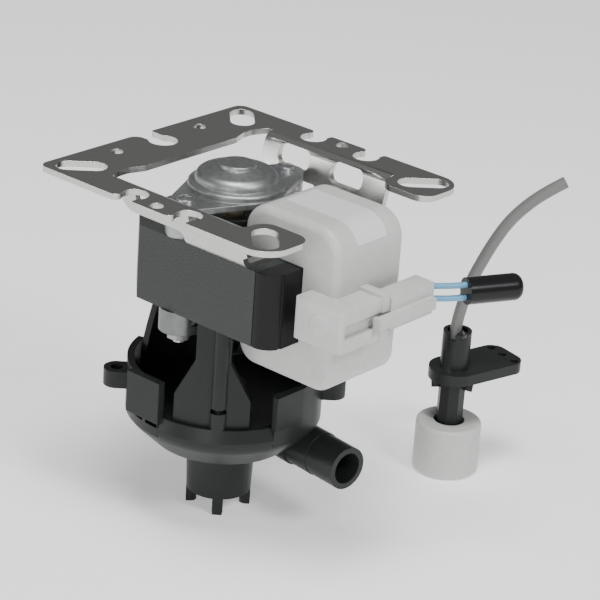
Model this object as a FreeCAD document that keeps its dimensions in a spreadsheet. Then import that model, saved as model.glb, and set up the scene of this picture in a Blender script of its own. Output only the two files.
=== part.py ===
import FreeCAD, Part
import math
import os

import Sketcher
from FreeCAD import Placement, Rotation, Vector

# Condensate pump: a shaded pole motor hung under a stamped steel bracket drives a small
# centrifugal pump, and a separate float switch stands beside it on the same level.
# The origin is the centre of the bracket plate on its top face. The shaft is vertical.

os.makedirs("parts", exist_ok=True)
doc = FreeCAD.newDocument("condensate_pump")

# Driving dimensions in millimetres and degrees
DRIVING = [
    ("plate_length", 100.0, "bracket plate along X"),
    ("plate_width", 96.0, "bracket plate along Y"),
    ("plate_thickness", 2.0, "bracket sheet"),
    ("strip_width", 22.5, "closed end of the bracket plate"),
    ("arm_width", 10.5, "flat part of each bracket arm"),
    ("tip_length", 20.0, "widened arm tip along X"),
    ("tip_depth", 20.5, "widened arm tip along Y"),
    ("corner_small", 3.5, "two tight plate corners"),
    ("corner_large", 9.0, "two round plate corners"),
    ("corner_inner", 5.5, "inner corners of the tips"),
    ("relief_depth", 2.0, "wave in the inner edge of the strip"),
    ("slot_width", 8.4, "corner slots"),
    ("slot_length", 17.0, "corner slots"),
    ("slot_inset", 9.8, "slot centre from both plate edges"),
    ("neck_width", 7.0, "neck of the edge notches"),
    ("notch_round", 9.0, "round end of the arm notches"),
    ("notch_depth", 9.9, "arm notches from the edge"),
    ("notch_left", -11.3, "first arm notch along X"),
    ("notch_right", 12.0, "second arm notch along X"),
    ("strip_notch_round", 10.0, "round end of the strip notch"),
    ("strip_notch_depth", 14.2, "strip notch from the edge"),
    ("small_hole", 4.7, "four fixing holes, diameter"),
    ("arm_hole_spacing", 88.8, "fixing holes in the arms"),
    ("strip_hole_spacing", 39.4, "fixing holes in the strip"),
    ("strip_hole_inset", 7.2, "strip holes from the plate end"),
    ("bend_radius", 2.0, "inside radius of the bracket bends"),
    ("web_lean", 16.0, "webs lean inward, degrees"),
    ("web_left", -25.3, "webs start along X"),
    ("web_right", 29.0, "webs end along X"),
    ("web_edge", -11.3, "lower edge of the free half of a web"),
    ("web_corner", 5.5, "round lower corner of a web"),
    ("window_width", 14.0, "opening in a web under each notch"),
    ("window_top", -1.5, "top of the web windows"),
    ("window_bottom", -8.5, "bottom of the web windows"),
    ("foot_start", 1.5, "web foot starts along X"),
    ("foot_end", 27.0, "web foot ends along X"),
    ("foot_reach", 11.0, "web foot over the stack"),
    ("shaft_offset", -7.0, "shaft axis along X"),
    ("stack_drop", 16.5, "stack top below the plate top"),
    ("stack_height", 25.5, "lamination stack"),
    ("stack_left", 26.0, "stack end from the shaft"),
    ("stack_half", 30.0, "half the stack width"),
    ("stack_chamfer", 12.0, "cut corners of the stack"),
    ("arm_end", 30.3, "stack arms end along X"),
    ("coil_gap", 0.3, "coil casing in the stack window"),
    ("window_wall", 15.7, "window from the shaft"),
    ("bore_radius", 13.5, "rotor bore"),
    ("air_gap", 0.35, "rotor to stack"),
    ("flux_notch", 3.0, "slit in the closed end of the stack"),
    ("bar_left", 26.5, "core bar along X"),
    ("bar_right", 37.4, "core bar along X"),
    ("bar_round", 6.4, "round ends of the core bar"),
    ("rivet_groove", 0.55, "grooves beside the bar joints"),
    ("ring_wire", 2.2, "shading ring copper"),
    ("ring_near", 4.0, "inner ring leg from the shaft, along X"),
    ("ring_far", 11.2, "outer ring leg from the shaft, along X"),
    ("ring_inset", 7.2, "ring legs inside the through bolts, along Y"),
    ("coil_left", 11.6, "coil casing along X"),
    ("coil_right", 51.6, "coil casing along X"),
    ("coil_top", -0.9, "coil casing top"),
    ("coil_bottom", -56.4, "coil casing bottom"),
    ("coil_half", 16.2, "half the casing width"),
    ("coil_corner", 9.5, "casing top corners"),
    ("coil_corner_low", 7.0, "casing bottom corners"),
    ("coil_edge", 2.6, "rounded casing edges"),
    ("coil_wall", 1.7, "casing wall"),
    ("bar_clearance", 0.2, "core bar in its openings"),
    ("bobbin_wall", 1.3, "bobbin tube and flanges"),
    ("winding_gap", 0.15, "winding to bobbin"),
    ("socket_left", 41.5, "terminal housing along X"),
    ("socket_right", 61.0, "terminal housing along X"),
    ("socket_front", -24.0, "terminal housing front face"),
    ("socket_mouth", -1.5, "terminal housing mouth"),
    ("socket_top", -22.3, "terminal housing top"),
    ("socket_height", 14.0, "terminal housing"),
    ("socket_round", 1.2, "terminal housing edges"),
    ("collar_top", -20.9, "collar over the mouth"),
    ("collar_right", 61.6, "collar along X"),
    ("collar_depth", 3.5, "collar along Y"),
    ("disc_radius", 3.95, "round boss on the terminal housing"),
    ("disc_height", 7.0, "round boss over the lower edge"),
    ("disc_x", 52.15, "round boss along X"),
    ("pole_pitch", 4.4, "distance between the two poles"),
    ("pole_height", -27.9, "middle of the two poles"),
    ("pole_x", 55.7, "poles along X"),
    ("pin_side", 1.2, "square contact pins"),
    ("pin_length", 11.0, "contact pins"),
    ("nose_width", 4.6, "plug nose along X"),
    ("nose_height", 8.2, "plug nose"),
    ("nose_length", 11.0, "plug nose in the housing"),
    ("plug_clearance", 0.3, "plug to housing"),
    ("plug_left", 54.2, "plug body along X"),
    ("plug_right", 62.0, "plug body along X"),
    ("plug_end", 20.8, "plug body end along Y"),
    ("plug_top", -22.9, "plug body"),
    ("plug_bottom", -33.8, "plug body"),
    ("plug_round", 1.0, "plug body rear edges"),
    ("latch_side", 2.4, "plug latch arm thickness"),
    ("latch_height", 4.0, "plug latch arm"),
    ("latch_tip", -9.0, "plug latch arm tip along Y"),
    ("lead_width", 2.0, "insulated blue leads"),
    ("cap_radius", 4.5, "black end cap"),
    ("cap_length", 19.5, "black end cap"),
    ("cap_x", 66.1, "end cap mouth"),
    ("cap_y", 31.8, "end cap mouth"),
    ("cap_turn", 62.7, "end cap direction, degrees"),
    ("shaft_radius", 2.0, "motor shaft"),
    ("running_fit", 0.03, "shaft in its bearings, radial"),
    ("shaft_top", -2.6, "upper shaft end"),
    ("shaft_bottom", -92.4, "lower shaft end"),
    ("bearing_radius", 5.0, "sintered bearings"),
    ("bearing_height", 6.5, "sintered bearings"),
    ("upper_bearing_low", -9.5, "lower face of the upper bearing"),
    ("lower_bearing_high", -49.0, "upper face of the lower bearing"),
    ("dome_top", 2.2, "top disc of the upper bracket"),
    ("dome_disc", 5.95, "top disc radius"),
    ("dome_step", 1.2, "height of the top disc"),
    ("dome_fall", 1.7, "fall of the dome to its shoulder"),
    ("dome_radius", 13.8, "dome wall"),
    ("dome_depth", 5.9, "dome wall ends under the top disc"),
    ("dome_round", 3.0, "round shoulder of the dome"),
    ("dome_sheet", 1.5, "dome wall thickness"),
    ("dome_ring", 16.0, "ring round the dome"),
    ("ring_round", 0.9, "round edge of the ring"),
    ("flange_radius", 16.5, "bearing bracket flange"),
    ("flange_top", -6.2, "upper bracket flange"),
    ("flange_sheet", 2.0, "upper bracket flange"),
    ("flange_thick", 3.2, "lower bracket flange"),
    ("bolt_inset", 6.2, "through bolts from the sides of the stack"),
    ("ear_radius", 6.3, "upper bracket ears"),
    ("low_ear_radius", 6.9, "lower bracket ears"),
    ("low_ear_height", 8.0, "lower bracket ears"),
    ("hub_radius", 7.4, "bearing hubs"),
    ("bolt_radius", 2.0, "through bolts"),
    ("bolt_clearance", 0.2, "through bolts, radial"),
    ("bolt_head", 2.8, "through bolt heads"),
    ("bolt_head_height", 1.8, "through bolt heads"),
    ("nut_radius", 4.0, "nut over its corners"),
    ("nut_height", 3.2, "nuts"),
    ("cage_radius", 12.2, "rotor cage"),
    ("cage_ring", 3.0, "cage end rings"),
    ("cage_bar", 0.9, "cage bars"),
    ("cage_bars", 12.0, "number of cage bars"),
    ("washer_radius", 4.2, "thrust washers"),
    ("washer_height", 1.0, "thrust washers"),
    ("slinger_radius", 9.0, "water slinger"),
    ("slinger_top", -62.0, "water slinger"),
    ("impeller_radius", 19.5, "pump impeller"),
    ("impeller_top", -84.4, "impeller disc top"),
    ("impeller_height", 8.9, "impeller over its vanes"),
    ("vane_count", 6.0, "impeller vanes"),
    ("cover_gap", 0.6, "motor mount cover in the pump housing"),
    ("cover_low", -82.0, "underside of the cover"),
    ("cover_thick", 2.4, "cover plate"),
    ("cover_hub_height", 3.0, "hub on the cover plate"),
    ("pillar_wall", 2.5, "mount pillars"),
    ("pillar_half", 5.8, "half the pillar width"),
    ("pillar_turn", 56.0, "front and back pillars, degrees"),
    ("gusset_half", 12.7, "half the gusset width"),
    ("gusset_top", -56.5, "gussets start"),
    ("gusset_low", -70.0, "gussets end"),
    ("column_radius", 2.7, "round columns on the pillars"),
    ("column_low", -72.3, "columns end"),
    ("column_turn", 5.0, "columns off the pillar middle, degrees"),
    ("column_inset", 0.7, "column middles inside the cover rim"),
    ("screw_radius", 1.9, "frame screws"),
    ("screw_head", 2.9, "frame screw heads"),
    ("screw_head_height", 2.0, "frame screw heads"),
    ("frame_screw_depth", 14.0, "frame screws in the columns"),
    ("pump_screw_radius", 1.2, "pump screws"),
    ("pump_screw_head", 1.75, "pump screw heads"),
    ("pump_screw_seat", -68.0, "pump screw heads sit at"),
    ("pump_screw_length", 13.0, "pump screws"),
    ("boss_radius", 2.2, "pump housing bosses"),
    ("boss_top", -74.0, "pump housing bosses"),
    ("boss_clearance", 0.3, "cover round the bosses"),
    ("bowl_radius", 33.2, "pump housing"),
    ("bowl_wall", 2.3, "pump housing wall"),
    ("bowl_edge", -87.0, "pump housing wall ends"),
    ("bowl_floor", -97.2, "pump housing underside"),
    ("bowl_slope", 10.6, "width of the sloping underside"),
    ("bowl_round", 6.0, "round edges of the underside"),
    ("ring_top", -68.0, "clip ring top"),
    ("ring_low", -79.6, "clip ring joins the housing"),
    ("seal_height", 0.8, "flat seal under the cover"),
    ("seal_width", 1.5, "flat seal"),
    ("seal_gap", 0.3, "chamber edge to the flat seal"),
    ("chamber_ledge", 2.6, "ledge between the chamber and the bosses"),
    ("chamber_slope", 4.8, "sloping edge of the chamber floor"),
    ("chamber_low", -94.9, "pump chamber floor"),
    ("cup_radius", 11.1, "inlet cup at its rim"),
    ("cup_taper", 0.7, "inlet cup is wider at the top"),
    ("cup_wall", 2.1, "inlet cup wall"),
    ("cup_rim", -116.0, "inlet cup rim"),
    ("foot_low", -122.0, "feet under the cup"),
    ("foot_width", 3.4, "feet under the cup"),
    ("foot_inset", 0.1, "feet inside both faces of the cup wall"),
    ("foot_turn", -48.0, "first foot, degrees"),
    ("spigot_radius", 7.45, "outlet spigot"),
    ("spigot_bore", 5.4, "outlet spigot bore"),
    ("spigot_height", -95.0, "outlet spigot axis"),
    ("spigot_offset", 16.3, "outlet axis from the shaft"),
    ("spigot_end", 45.6, "outlet end from the shaft"),
    ("spigot_turn", -7.0, "outlet direction, degrees"),
    ("spigot_neck", 0.85, "thicker root of the spigot"),
    ("spigot_neck_end", 22.0, "root ends"),
    ("spigot_stop", 0.25, "low shoulder that stops the hose"),
    ("spigot_stop_end", 33.0, "shoulder ends"),
    ("spigot_start", 8.0, "spigot tube starts in the housing"),
    ("throat_start", 14.0, "wider throat between chamber and bore"),
    ("throat_end", 22.0, "throat ends"),
    ("throat_wider", 0.5, "throat over the bore"),
    ("clip_width", 14.6, "clip panels"),
    ("clip_height", 14.7, "clip panels"),
    ("clip_top", -66.8, "clip panels"),
    ("clip_proud", 0.7, "clip panels outside the ring"),
    ("clip_shift", 5.6, "clip panels off the middle"),
    ("clip_thick", 2.8, "clip panels"),
    ("clip_slot", 5.6, "slots under a clip panel"),
    ("clip_slot_height", 1.8, "slots under a clip panel"),
    ("right_panel_near", -10.5, "right clip panel along Y"),
    ("right_panel_far", 2.5, "right clip panel along Y"),
    ("right_panel_height", 12.0, "right clip panel"),
    ("back_ring_turn", 88.0, "clip ring sectors start at, degrees"),
    ("left_ring_turn", 197.0, "clip ring sectors start at, degrees"),
    ("right_ring_turn", -17.0, "clip ring sectors start at, degrees"),
    ("ring_span", 75.0, "back and left clip ring sectors, degrees"),
    ("right_ring_span", 67.0, "right clip ring sector, degrees"),
    ("lug_reach", 7.8, "hose clip lugs outside the ring"),
    ("lug_width", 9.0, "lugs"),
    ("lug_top", -73.5, "lugs"),
    ("lug_height", 6.0, "lugs"),
    ("lug_hole", 4.2, "lug holes"),
    ("lug_turn", 42.0, "right lug, degrees"),
    ("switch_x", 29.5, "float switch axis"),
    ("switch_y", 80.0, "float switch axis"),
    ("switch_turn", 76.5, "switch flange direction, degrees"),
    ("stem_radius", 4.4, "switch stem over its facets"),
    ("stem_low", -120.9, "switch stem end"),
    ("stem_bore", 2.3, "switch stem bore"),
    ("stem_bore_low", -114.0, "switch stem bore end"),
    ("tab_top", -82.3, "switch flange"),
    ("tab_thick", 4.0, "switch flange"),
    ("tab_radius", 9.0, "switch flange round end"),
    ("tab_reach", 26.0, "switch flange far end"),
    ("tab_corner", 3.0, "switch flange corners"),
    ("tab_hole", 3.0, "switch flange holes"),
    ("tab_hole_reach", 22.0, "switch flange holes from the axis"),
    ("tab_hole_pitch", 6.45, "switch flange holes"),
    ("barrel_radius", 5.1, "switch barrel"),
    ("barrel_top", -68.3, "switch barrel"),
    ("barrel_bore", 3.7, "switch barrel bore"),
    ("barrel_notch", 2.6, "notch in the barrel rim"),
    ("notch_turn", -75.0, "notch in the barrel rim, degrees"),
    ("potting_top", -71.4, "resin in the barrel"),
    ("potting_low", -80.0, "resin in the barrel"),
    ("barb_reach", 7.0, "barbs under the flange"),
    ("barb_height", 4.0, "barbs under the flange"),
    ("barb_width", 3.4, "barbs under the flange"),
    ("barb_tip", 0.3, "barb tips outside the stem"),
    ("barb_turn", 31.5, "barbs, degrees"),
    ("reed_radius", 1.5, "glass reed switch"),
    ("reed_length", 15.0, "glass reed switch"),
    ("float_radius", 11.7, "float"),
    ("float_top", -103.0, "float"),
    ("float_bottom", -121.9, "float"),
    ("float_bore", 5.5, "float bore"),
    ("float_round", 1.3, "float edges"),
    ("float_seat", 3.4, "recess over the stop ring"),
    ("float_gap", 0.3, "float to stop ring"),
    ("magnet_radius", 8.6, "ring magnet"),
    ("magnet_height", 5.0, "ring magnet"),
    ("magnet_bore", 6.6, "ring magnet"),
    ("stop_radius", 6.4, "stop ring"),
    ("stop_height", 1.0, "stop ring"),
    ("stop_groove", 0.7, "groove depth for the stop ring"),
    ("cable_radius", 2.1, "switch cable"),
]


class Size(float):
    """A number that also carries the sheet formula it was worked out from."""

    def __new__(cls, value, text=None):
        item = float.__new__(cls, value)
        item.text = repr(float(value)) if text is None else text
        return item

    def __add__(self, other):
        return Size(float(self) + float(other), "(%s + %s)" % (self.text, text_of(other)))

    def __radd__(self, other):
        return Size(float(other) + float(self), "(%s + %s)" % (text_of(other), self.text))

    def __sub__(self, other):
        return Size(float(self) - float(other), "(%s - %s)" % (self.text, text_of(other)))

    def __rsub__(self, other):
        return Size(float(other) - float(self), "(%s - %s)" % (text_of(other), self.text))

    def __mul__(self, other):
        return Size(float(self) * float(other), "(%s * %s)" % (self.text, text_of(other)))

    def __rmul__(self, other):
        return Size(float(other) * float(self), "(%s * %s)" % (text_of(other), self.text))

    def __truediv__(self, other):
        return Size(float(self) / float(other), "(%s / %s)" % (self.text, text_of(other)))

    def __neg__(self):
        return Size(-float(self), "(0 - %s)" % self.text)


def text_of(value):
    """The formula of a size, or a plain number as text."""
    return value.text if isinstance(value, Size) else repr(float(value))


def cosine(angle):
    return Size(math.cos(math.radians(angle)), "cos(%s * 1 deg)" % text_of(angle))


def sine(angle):
    return Size(math.sin(math.radians(angle)), "sin(%s * 1 deg)" % text_of(angle))


def tangent(angle):
    return Size(math.tan(math.radians(angle)), "tan(%s * 1 deg)" % text_of(angle))


class Table:
    """The sheet's cells as sizes, by alias."""


sheet = doc.addObject("Spreadsheet::Sheet", "Sizes")
d = Table()
for row, (alias, number, meaning) in enumerate(DRIVING, start=1):
    sheet.set("A%d" % row, meaning)
    sheet.set("B%d" % row, str(number))
    sheet.setAlias("B%d" % row, alias)
    setattr(d, alias, Size(number, "Sizes." + alias))
doc.recompute()

nodes = []
names = {}

# Planes of the sketches: sketch X and Y as directions of the part
PLANES = {
    "XY": ("XY_Plane", Rotation()),
    "XZ": ("XZ_Plane", Rotation(Vector(1, 0, 0), 90)),
    "YZ": ("YZ_Plane", Rotation(Vector(1, 1, 1), 120)),
}


def fresh(name):
    """An object name that is free, so that helper shapes can share a plain word."""
    names[name] = names.get(name, 0) + 1
    return name if names[name] == 1 else "%s_%d" % (name, names[name])


def keep(item, label):
    """Marks an object as a sub-part of its own, with the name of its file."""
    item.Label = label
    nodes.append(item)
    return item


def bind(item, **sizes):
    for prop, value in sizes.items():
        item.setExpression(prop, text_of(value))
    return item


def place(item, x=0, y=0, z=0, turn=None, axis=Vector(0, 0, 1)):
    """Puts an object at a point, turned about an axis through that point."""
    if turn is not None:
        item.Placement = Placement(Vector(), Rotation(axis, float(turn)))
        item.setExpression("Placement.Rotation.Angle", text_of(abs(turn) if turn == 0 else turn))
    for letter, value in zip("xyz", (x, y, z)):
        item.setExpression("Placement.Base." + letter, text_of(value))
    return item


def box(x0, x1, y0, y1, z0, z1, name="block"):
    """A block between two corners."""
    item = doc.addObject("Part::Box", fresh(name))
    bind(item, Length=Size(x1, text_of(x1)) - x0, Width=Size(y1, text_of(y1)) - y0)
    bind(item, Height=Size(z1, text_of(z1)) - z0)
    return place(item, x0, y0, z0)


def cylinder(radius, x, y, z0, z1, name="round"):
    """An upright cylinder from z0 to z1."""
    item = doc.addObject("Part::Cylinder", fresh(name))
    bind(item, Radius=radius, Height=Size(z1, text_of(z1)) - z0)
    return place(item, x, y, z0)


def fuse(*items):
    item = doc.addObject("Part::MultiFuse", fresh("joined"))
    item.Shapes = list(items)
    item.Refine = True
    return item


def cut(base, *tools):
    item = doc.addObject("Part::Cut", fresh("carved"))
    item.Base = base
    item.Tool = tools[0] if len(tools) == 1 else fuse(*tools)
    item.Refine = True
    return item


def common(base, tool):
    item = doc.addObject("Part::MultiCommon", fresh("shared"))
    item.Shapes = [base, tool]
    return item


def group(*items):
    """Separate solids that share one node."""
    item = doc.addObject("Part::Compound", fresh("set"))
    item.Links = list(items)
    return item


def mirrored(item):
    """The mirror image of an object across the plane of symmetry through the shaft."""
    copy = doc.addObject("Part::Mirroring", fresh("mirrored"))
    copy.Source = item
    copy.Normal = Vector(0, 1, 0)
    return copy


def feature(shape, name="shape"):
    item = doc.addObject("Part::Feature", fresh(name))
    item.Shape = shape
    return item


def outline(sketch, points):
    """A closed polygon whose every corner is held by two formulas of the sheet."""
    count = len(points)
    corners = [Vector(float(x), float(y), 0) for x, y in points]
    for index in range(count):
        sketch.addGeometry(Part.LineSegment(corners[index], corners[(index + 1) % count]), False)
    for index in range(count):
        sketch.addConstraint(Sketcher.Constraint("Coincident", index, 2, (index + 1) % count, 1))
    for index, (x, y) in enumerate(points):
        for kind, value in (("DistanceX", x), ("DistanceY", y)):
            held = Sketcher.Constraint(kind, -1, 1, index, 1, float(value))
            number = sketch.addConstraint(held)
            if isinstance(value, Size):
                sketch.setExpression("Constraints[%d]" % number, value.text)


def ring(sketch, x, y, radius):
    """A circle held by its centre and radius."""
    index = sketch.addGeometry(Part.Circle(Vector(float(x), float(y), 0), Vector(0, 0, 1), float(radius)))
    for kind, value in (("DistanceX", x), ("DistanceY", y)):
        number = sketch.addConstraint(Sketcher.Constraint(kind, -1, 1, index, 3, float(value)))
        sketch.setExpression("Constraints[%d]" % number, text_of(value))
    number = sketch.addConstraint(Sketcher.Constraint("Radius", index, float(radius)))
    sketch.setExpression("Constraints[%d]" % number, text_of(radius))


def body(name, x=0, y=0, turn=None):
    item = doc.addObject("PartDesign::Body", fresh(name))
    return place(item, x, y, 0, turn)


def drawing(owner, plane, level=0):
    """A sketch on one of a body's own planes, moved along the plane's normal."""
    role, turn = PLANES[plane]
    sketch = owner.newObject("Sketcher::SketchObject", fresh("sketch"))
    base = [item for item in owner.Origin.OriginFeatures if item.Role == role][0]
    sketch.AttachmentSupport = [(base, "")]
    sketch.MapMode = "FlatFace"
    sketch.setExpression("AttachmentOffset.Base.z", text_of(level))
    return sketch


def pad(owner, plane, level, length, points=None, rings=(), both=False):
    sketch = drawing(owner, plane, level)
    if points:
        outline(sketch, points)
    for circle in rings:
        ring(sketch, *circle)
    item = owner.newObject("PartDesign::Pad", fresh("pad"))
    item.Profile = sketch
    item.Midplane = both
    bind(item, Length=length)
    return item, sketch


def pocket(owner, plane, points=None, rings=()):
    """Holes right through a body."""
    sketch = drawing(owner, plane)
    if points:
        outline(sketch, points)
    for circle in rings:
        ring(sketch, *circle)
    item = owner.newObject("PartDesign::Pocket", fresh("pocket"))
    item.Profile = sketch
    item.Type = "ThroughAll"
    item.Midplane = True
    return item


def revolve(owner, points):
    """A turned form about the body's own upright axis, from (radius, height) corners."""
    sketch = drawing(owner, "XZ")
    outline(sketch, points)
    item = owner.newObject("PartDesign::Revolution", fresh("turning"))
    item.Profile = sketch
    item.ReferenceAxis = (sketch, ["V_Axis"])
    item.Angle = 360
    return item, sketch


def ease(owner, base, sketch, corners):
    """Rounds the edges that start at numbered corners of a feature's sketch."""
    doc.recompute()
    normal = sketch.Placement.Rotation.multVec(Vector(0, 0, 1))
    for radius, numbers in corners:
        found = []
        for number in numbers:
            corner = sketch.Placement.multVec(sketch.Geometry[number].StartPoint)
            for index, edge in enumerate(base.Shape.Edges, start=1):
                spot = Part.Vertex(corner)
                if edge.distToShape(spot)[0] > 1e-4:
                    continue
                along = edge.tangentAt(edge.Curve.parameter(corner))
                if abs(along.dot(normal)) > 0.99:
                    found.append("Edge%d" % index)
                    break
        item = owner.newObject("PartDesign::Fillet", fresh("rounding"))
        item.Base = (base, found)
        bind(item, Radius=radius)
        doc.recompute()
        base = item
    return base


def soften(item, radius, chosen):
    """Rounds the chosen edges of a Part object."""
    doc.recompute()
    rounded = doc.addObject("Part::Fillet", fresh("softened"))
    rounded.Base = item
    edges = [index for index, edge in enumerate(item.Shape.Edges, start=1) if chosen(edge)]
    rounded.Edges = [(index, float(radius), float(radius)) for index in edges]
    return rounded


def polar(radius, angle, x=0, y=0):
    """A point at a radius and an angle from (x, y)."""
    return x + radius * cosine(angle), y + radius * sine(angle)


AXIS = d.shaft_offset
STACK_TOP = -d.stack_drop
STACK_LOW = STACK_TOP - d.stack_height
half_length = d.plate_length / 2
half_width = d.plate_width / 2
bend_line = half_width - d.arm_width
tip_line = half_width - d.tip_depth
bowl_inner = d.bowl_radius - d.bowl_wall
cover_radius = bowl_inner - d.cover_gap
column_reach = cover_radius - d.column_inset


# Mounting bracket: one stamped sheet, bent down along the inner edges of both arms.
def bracket_plate():
    left = -half_length
    tip_start = half_length - d.tip_length
    inner = d.strip_width - half_length
    relief = inner - d.relief_depth
    front = [
        (left, -half_width),
        (half_length, -half_width),
        (half_length, -tip_line),
        (tip_start, -tip_line),
        (tip_start, -bend_line),
        (inner, -bend_line),
        (relief, -(bend_line - d.relief_depth * 3)),
        (relief, -(bend_line - d.relief_depth * 5)),
        (inner, -(bend_line - d.relief_depth * 8)),
    ]
    back = [(x, -y) for x, y in reversed(front)]
    sheet_metal = body("bracket_plate")
    flat, sketch = pad(sheet_metal, "XY", -d.plate_thickness, d.plate_thickness, front + back)
    rounds = [
        (d.corner_small, (0, 17)),
        (d.corner_large, (1, 16)),
        (d.corner_inner, (2, 3, 14, 15)),
        (d.corner_small, (4, 5, 12, 13)),
        (d.corner_small, (6, 7, 8, 9, 10, 11)),
    ]
    ease(sheet_metal, flat, sketch, rounds)
    arm_hole = d.arm_hole_spacing / 2
    strip_hole = d.strip_hole_spacing / 2
    strip_x = d.strip_hole_inset - half_length
    holes = [(0, -arm_hole), (0, arm_hole), (strip_x, -strip_hole), (strip_x, strip_hole)]
    pocket(sheet_metal, "XY", rings=[(x, y, d.small_hole / 2) for x, y in holes])
    return sheet_metal


def slot_cutter(side_x, side_y):
    """A long slot through the plate, pointing at its corner."""
    x = side_x * (half_length - d.slot_inset)
    y = side_y * (half_width - d.slot_inset)
    radius = d.slot_width / 2
    reach = (d.slot_length - d.slot_width) / 2
    deep = d.plate_thickness * 2
    turn = 45 * side_x * side_y
    middle = doc.addObject("Part::Box", fresh("slot"))
    bind(middle, Length=reach * 2, Width=d.slot_width, Height=deep * 2)
    run = Vector(math.cos(math.radians(turn)), math.sin(math.radians(turn)), 0)
    side = Vector(-run.y, run.x, 0)
    place(middle, x - reach * run.x - radius * side.x, y - reach * run.y - radius * side.y, -deep, turn)
    ends = [cylinder(radius, x + s * reach * run.x, y + s * reach * run.y, -deep, deep) for s in (-1, 1)]
    return fuse(middle, *ends)


def arm_notch(x, side):
    """A keyhole notch open to the outer edge of an arm."""
    deep = d.plate_thickness * 2
    radius = d.notch_round / 2
    centre = half_width - d.notch_depth + radius
    outside = half_width + d.notch_depth
    low, high = (centre, outside) if side > 0 else (-outside, -centre)
    neck = box(x - d.neck_width / 2, x + d.neck_width / 2, low, high, -deep, deep)
    return fuse(neck, cylinder(radius, x, side * centre, -deep, deep))


def strip_notch():
    deep = d.plate_thickness * 2
    radius = d.strip_notch_round / 2
    x = d.strip_notch_depth - half_length - radius
    neck = box(-half_length - radius, x, -d.neck_width / 2, d.neck_width / 2, -deep, deep)
    return fuse(neck, cylinder(radius, x, 0, -deep, deep))


def bent_face(corners, radius, thickness):
    """The section of a bent sheet, from the corners of its middle line in Y and Z."""
    half = thickness / 2
    runs = [(b - a).normalize() for a, b in zip(corners, corners[1:])]
    lefts = [Vector(0, -run.z, run.y) for run in runs]
    sides = {1: [], -1: []}
    for sign in (1, -1):
        start = corners[0] + lefts[0] * half * sign
        for index in range(1, len(corners) - 1):
            before, after = runs[index - 1], runs[index]
            turn = math.acos(max(-1, min(1, before.dot(after))))
            bend = 1 if before.cross(after).x > 0 else -1
            middle = radius + half
            reach = middle * math.tan(turn / 2)
            arc_start = corners[index] - before * reach
            arc_end = corners[index] + after * reach
            centre = arc_start + lefts[index - 1] * bend * middle
            own = middle - bend * sign * half
            crown = centre + (corners[index] - centre).normalize() * own
            first = arc_start + lefts[index - 1] * half * sign
            last = arc_end + lefts[index] * half * sign
            sides[sign].append(Part.LineSegment(start, first).toShape())
            sides[sign].append(Part.Arc(first, crown, last).toShape())
            start = last
        end = corners[-1] + lefts[-1] * half * sign
        sides[sign].append(Part.LineSegment(start, end).toShape())
    caps = []
    for tip, left in ((corners[0], lefts[0]), (corners[-1], lefts[-1])):
        caps.append(Part.LineSegment(tip + left * half, tip - left * half).toShape())
    edges = sides[1] + sides[-1] + caps
    return Part.Face(Part.Wire(Part.__sortEdges__(edges)))


def bracket_web():
    """The front web with its bend and its foot on the stack."""
    lean = 90 - d.web_lean
    reach = (d.bend_radius + d.plate_thickness / 2) * tangent(lean / 2)
    upper = d.plate_thickness / -2
    lower = STACK_TOP + d.plate_thickness / 2
    knee = bend_line - reach
    ankle = knee - (upper - lower) * tangent(d.web_lean)
    corners = [
        Vector(0, -bend_line - 0.5, upper),
        Vector(0, -knee, upper),
        Vector(0, -ankle, lower),
        Vector(0, -ankle + d.foot_reach, lower),
    ]
    face = bent_face(corners, float(d.bend_radius), float(d.plate_thickness))
    face.translate(Vector(d.web_left, 0, 0))
    strip = feature(face.extrude(Vector(d.web_right - d.web_left, 0, 0)), "web_strip")
    under = STACK_TOP - d.plate_thickness
    form = body("web_form")
    shape, sketch = pad(form, "XZ", 0, bend_line * 2, [
        (d.web_left, d.plate_thickness),
        (d.web_left, d.web_edge),
        (d.foot_start - d.plate_thickness, d.web_edge),
        (d.foot_start, STACK_TOP + d.plate_thickness * 2),
        (d.foot_start, under),
        (d.foot_end, under),
        (d.foot_end, STACK_TOP + d.plate_thickness * 2),
        (d.web_right, d.web_edge),
        (d.web_right, d.plate_thickness),
    ], both=True)
    ease(form, shape, sketch, [(d.web_corner, (1,)), (d.plate_thickness, (2, 3))])
    openings = body("web_windows")
    for number, x in enumerate((d.notch_left, d.notch_right)):
        left = x - d.window_width / 2
        right = x + d.window_width / 2
        low, high = d.window_bottom, d.window_top
        frame = [(left, high), (left, low), (right, low), (right, high)]
        hole, lines = pad(openings, "XZ", 0, bend_line * 2, frame, both=True)
    doc.recompute()
    upright = [edge for edge in openings.Shape.Edges if abs(edge.tangentAt(edge.FirstParameter).y) > 0.99]
    spots = [edge.CenterOfMass for edge in upright]

    def frame_corner(edge):
        return any(edge.CenterOfMass.isEqual(spot, 1e-6) for spot in spots)

    return cut(common(strip, form), soften(openings, (d.window_top - d.window_bottom) * 0.42, frame_corner))


plate = cut(
    bracket_plate(),
    *[slot_cutter(side_x, side_y) for side_x in (-1, 1) for side_y in (-1, 1)],
    *[arm_notch(x, side) for x in (d.notch_left, d.notch_right) for side in (-1, 1)],
    strip_notch(),
)
web = bracket_web()
column_spots = [polar(column_reach, side * (d.pillar_turn - d.column_turn), AXIS, 0) for side in (-1, 1)]
screw_holes = [
    cylinder(d.screw_radius + d.bolt_clearance, x, y, STACK_LOW, d.plate_thickness)
    for x, y in column_spots
]
keep(cut(fuse(plate, web, mirrored(web)), *screw_holes), "mounting_bracket")


# Lamination stack: one arm each side of the coil, joined by a loose bar through the coil.
window_half = d.coil_half + d.coil_gap
ear_reach = d.stack_half - d.bolt_inset
ring_row = ear_reach - d.ring_inset


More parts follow.
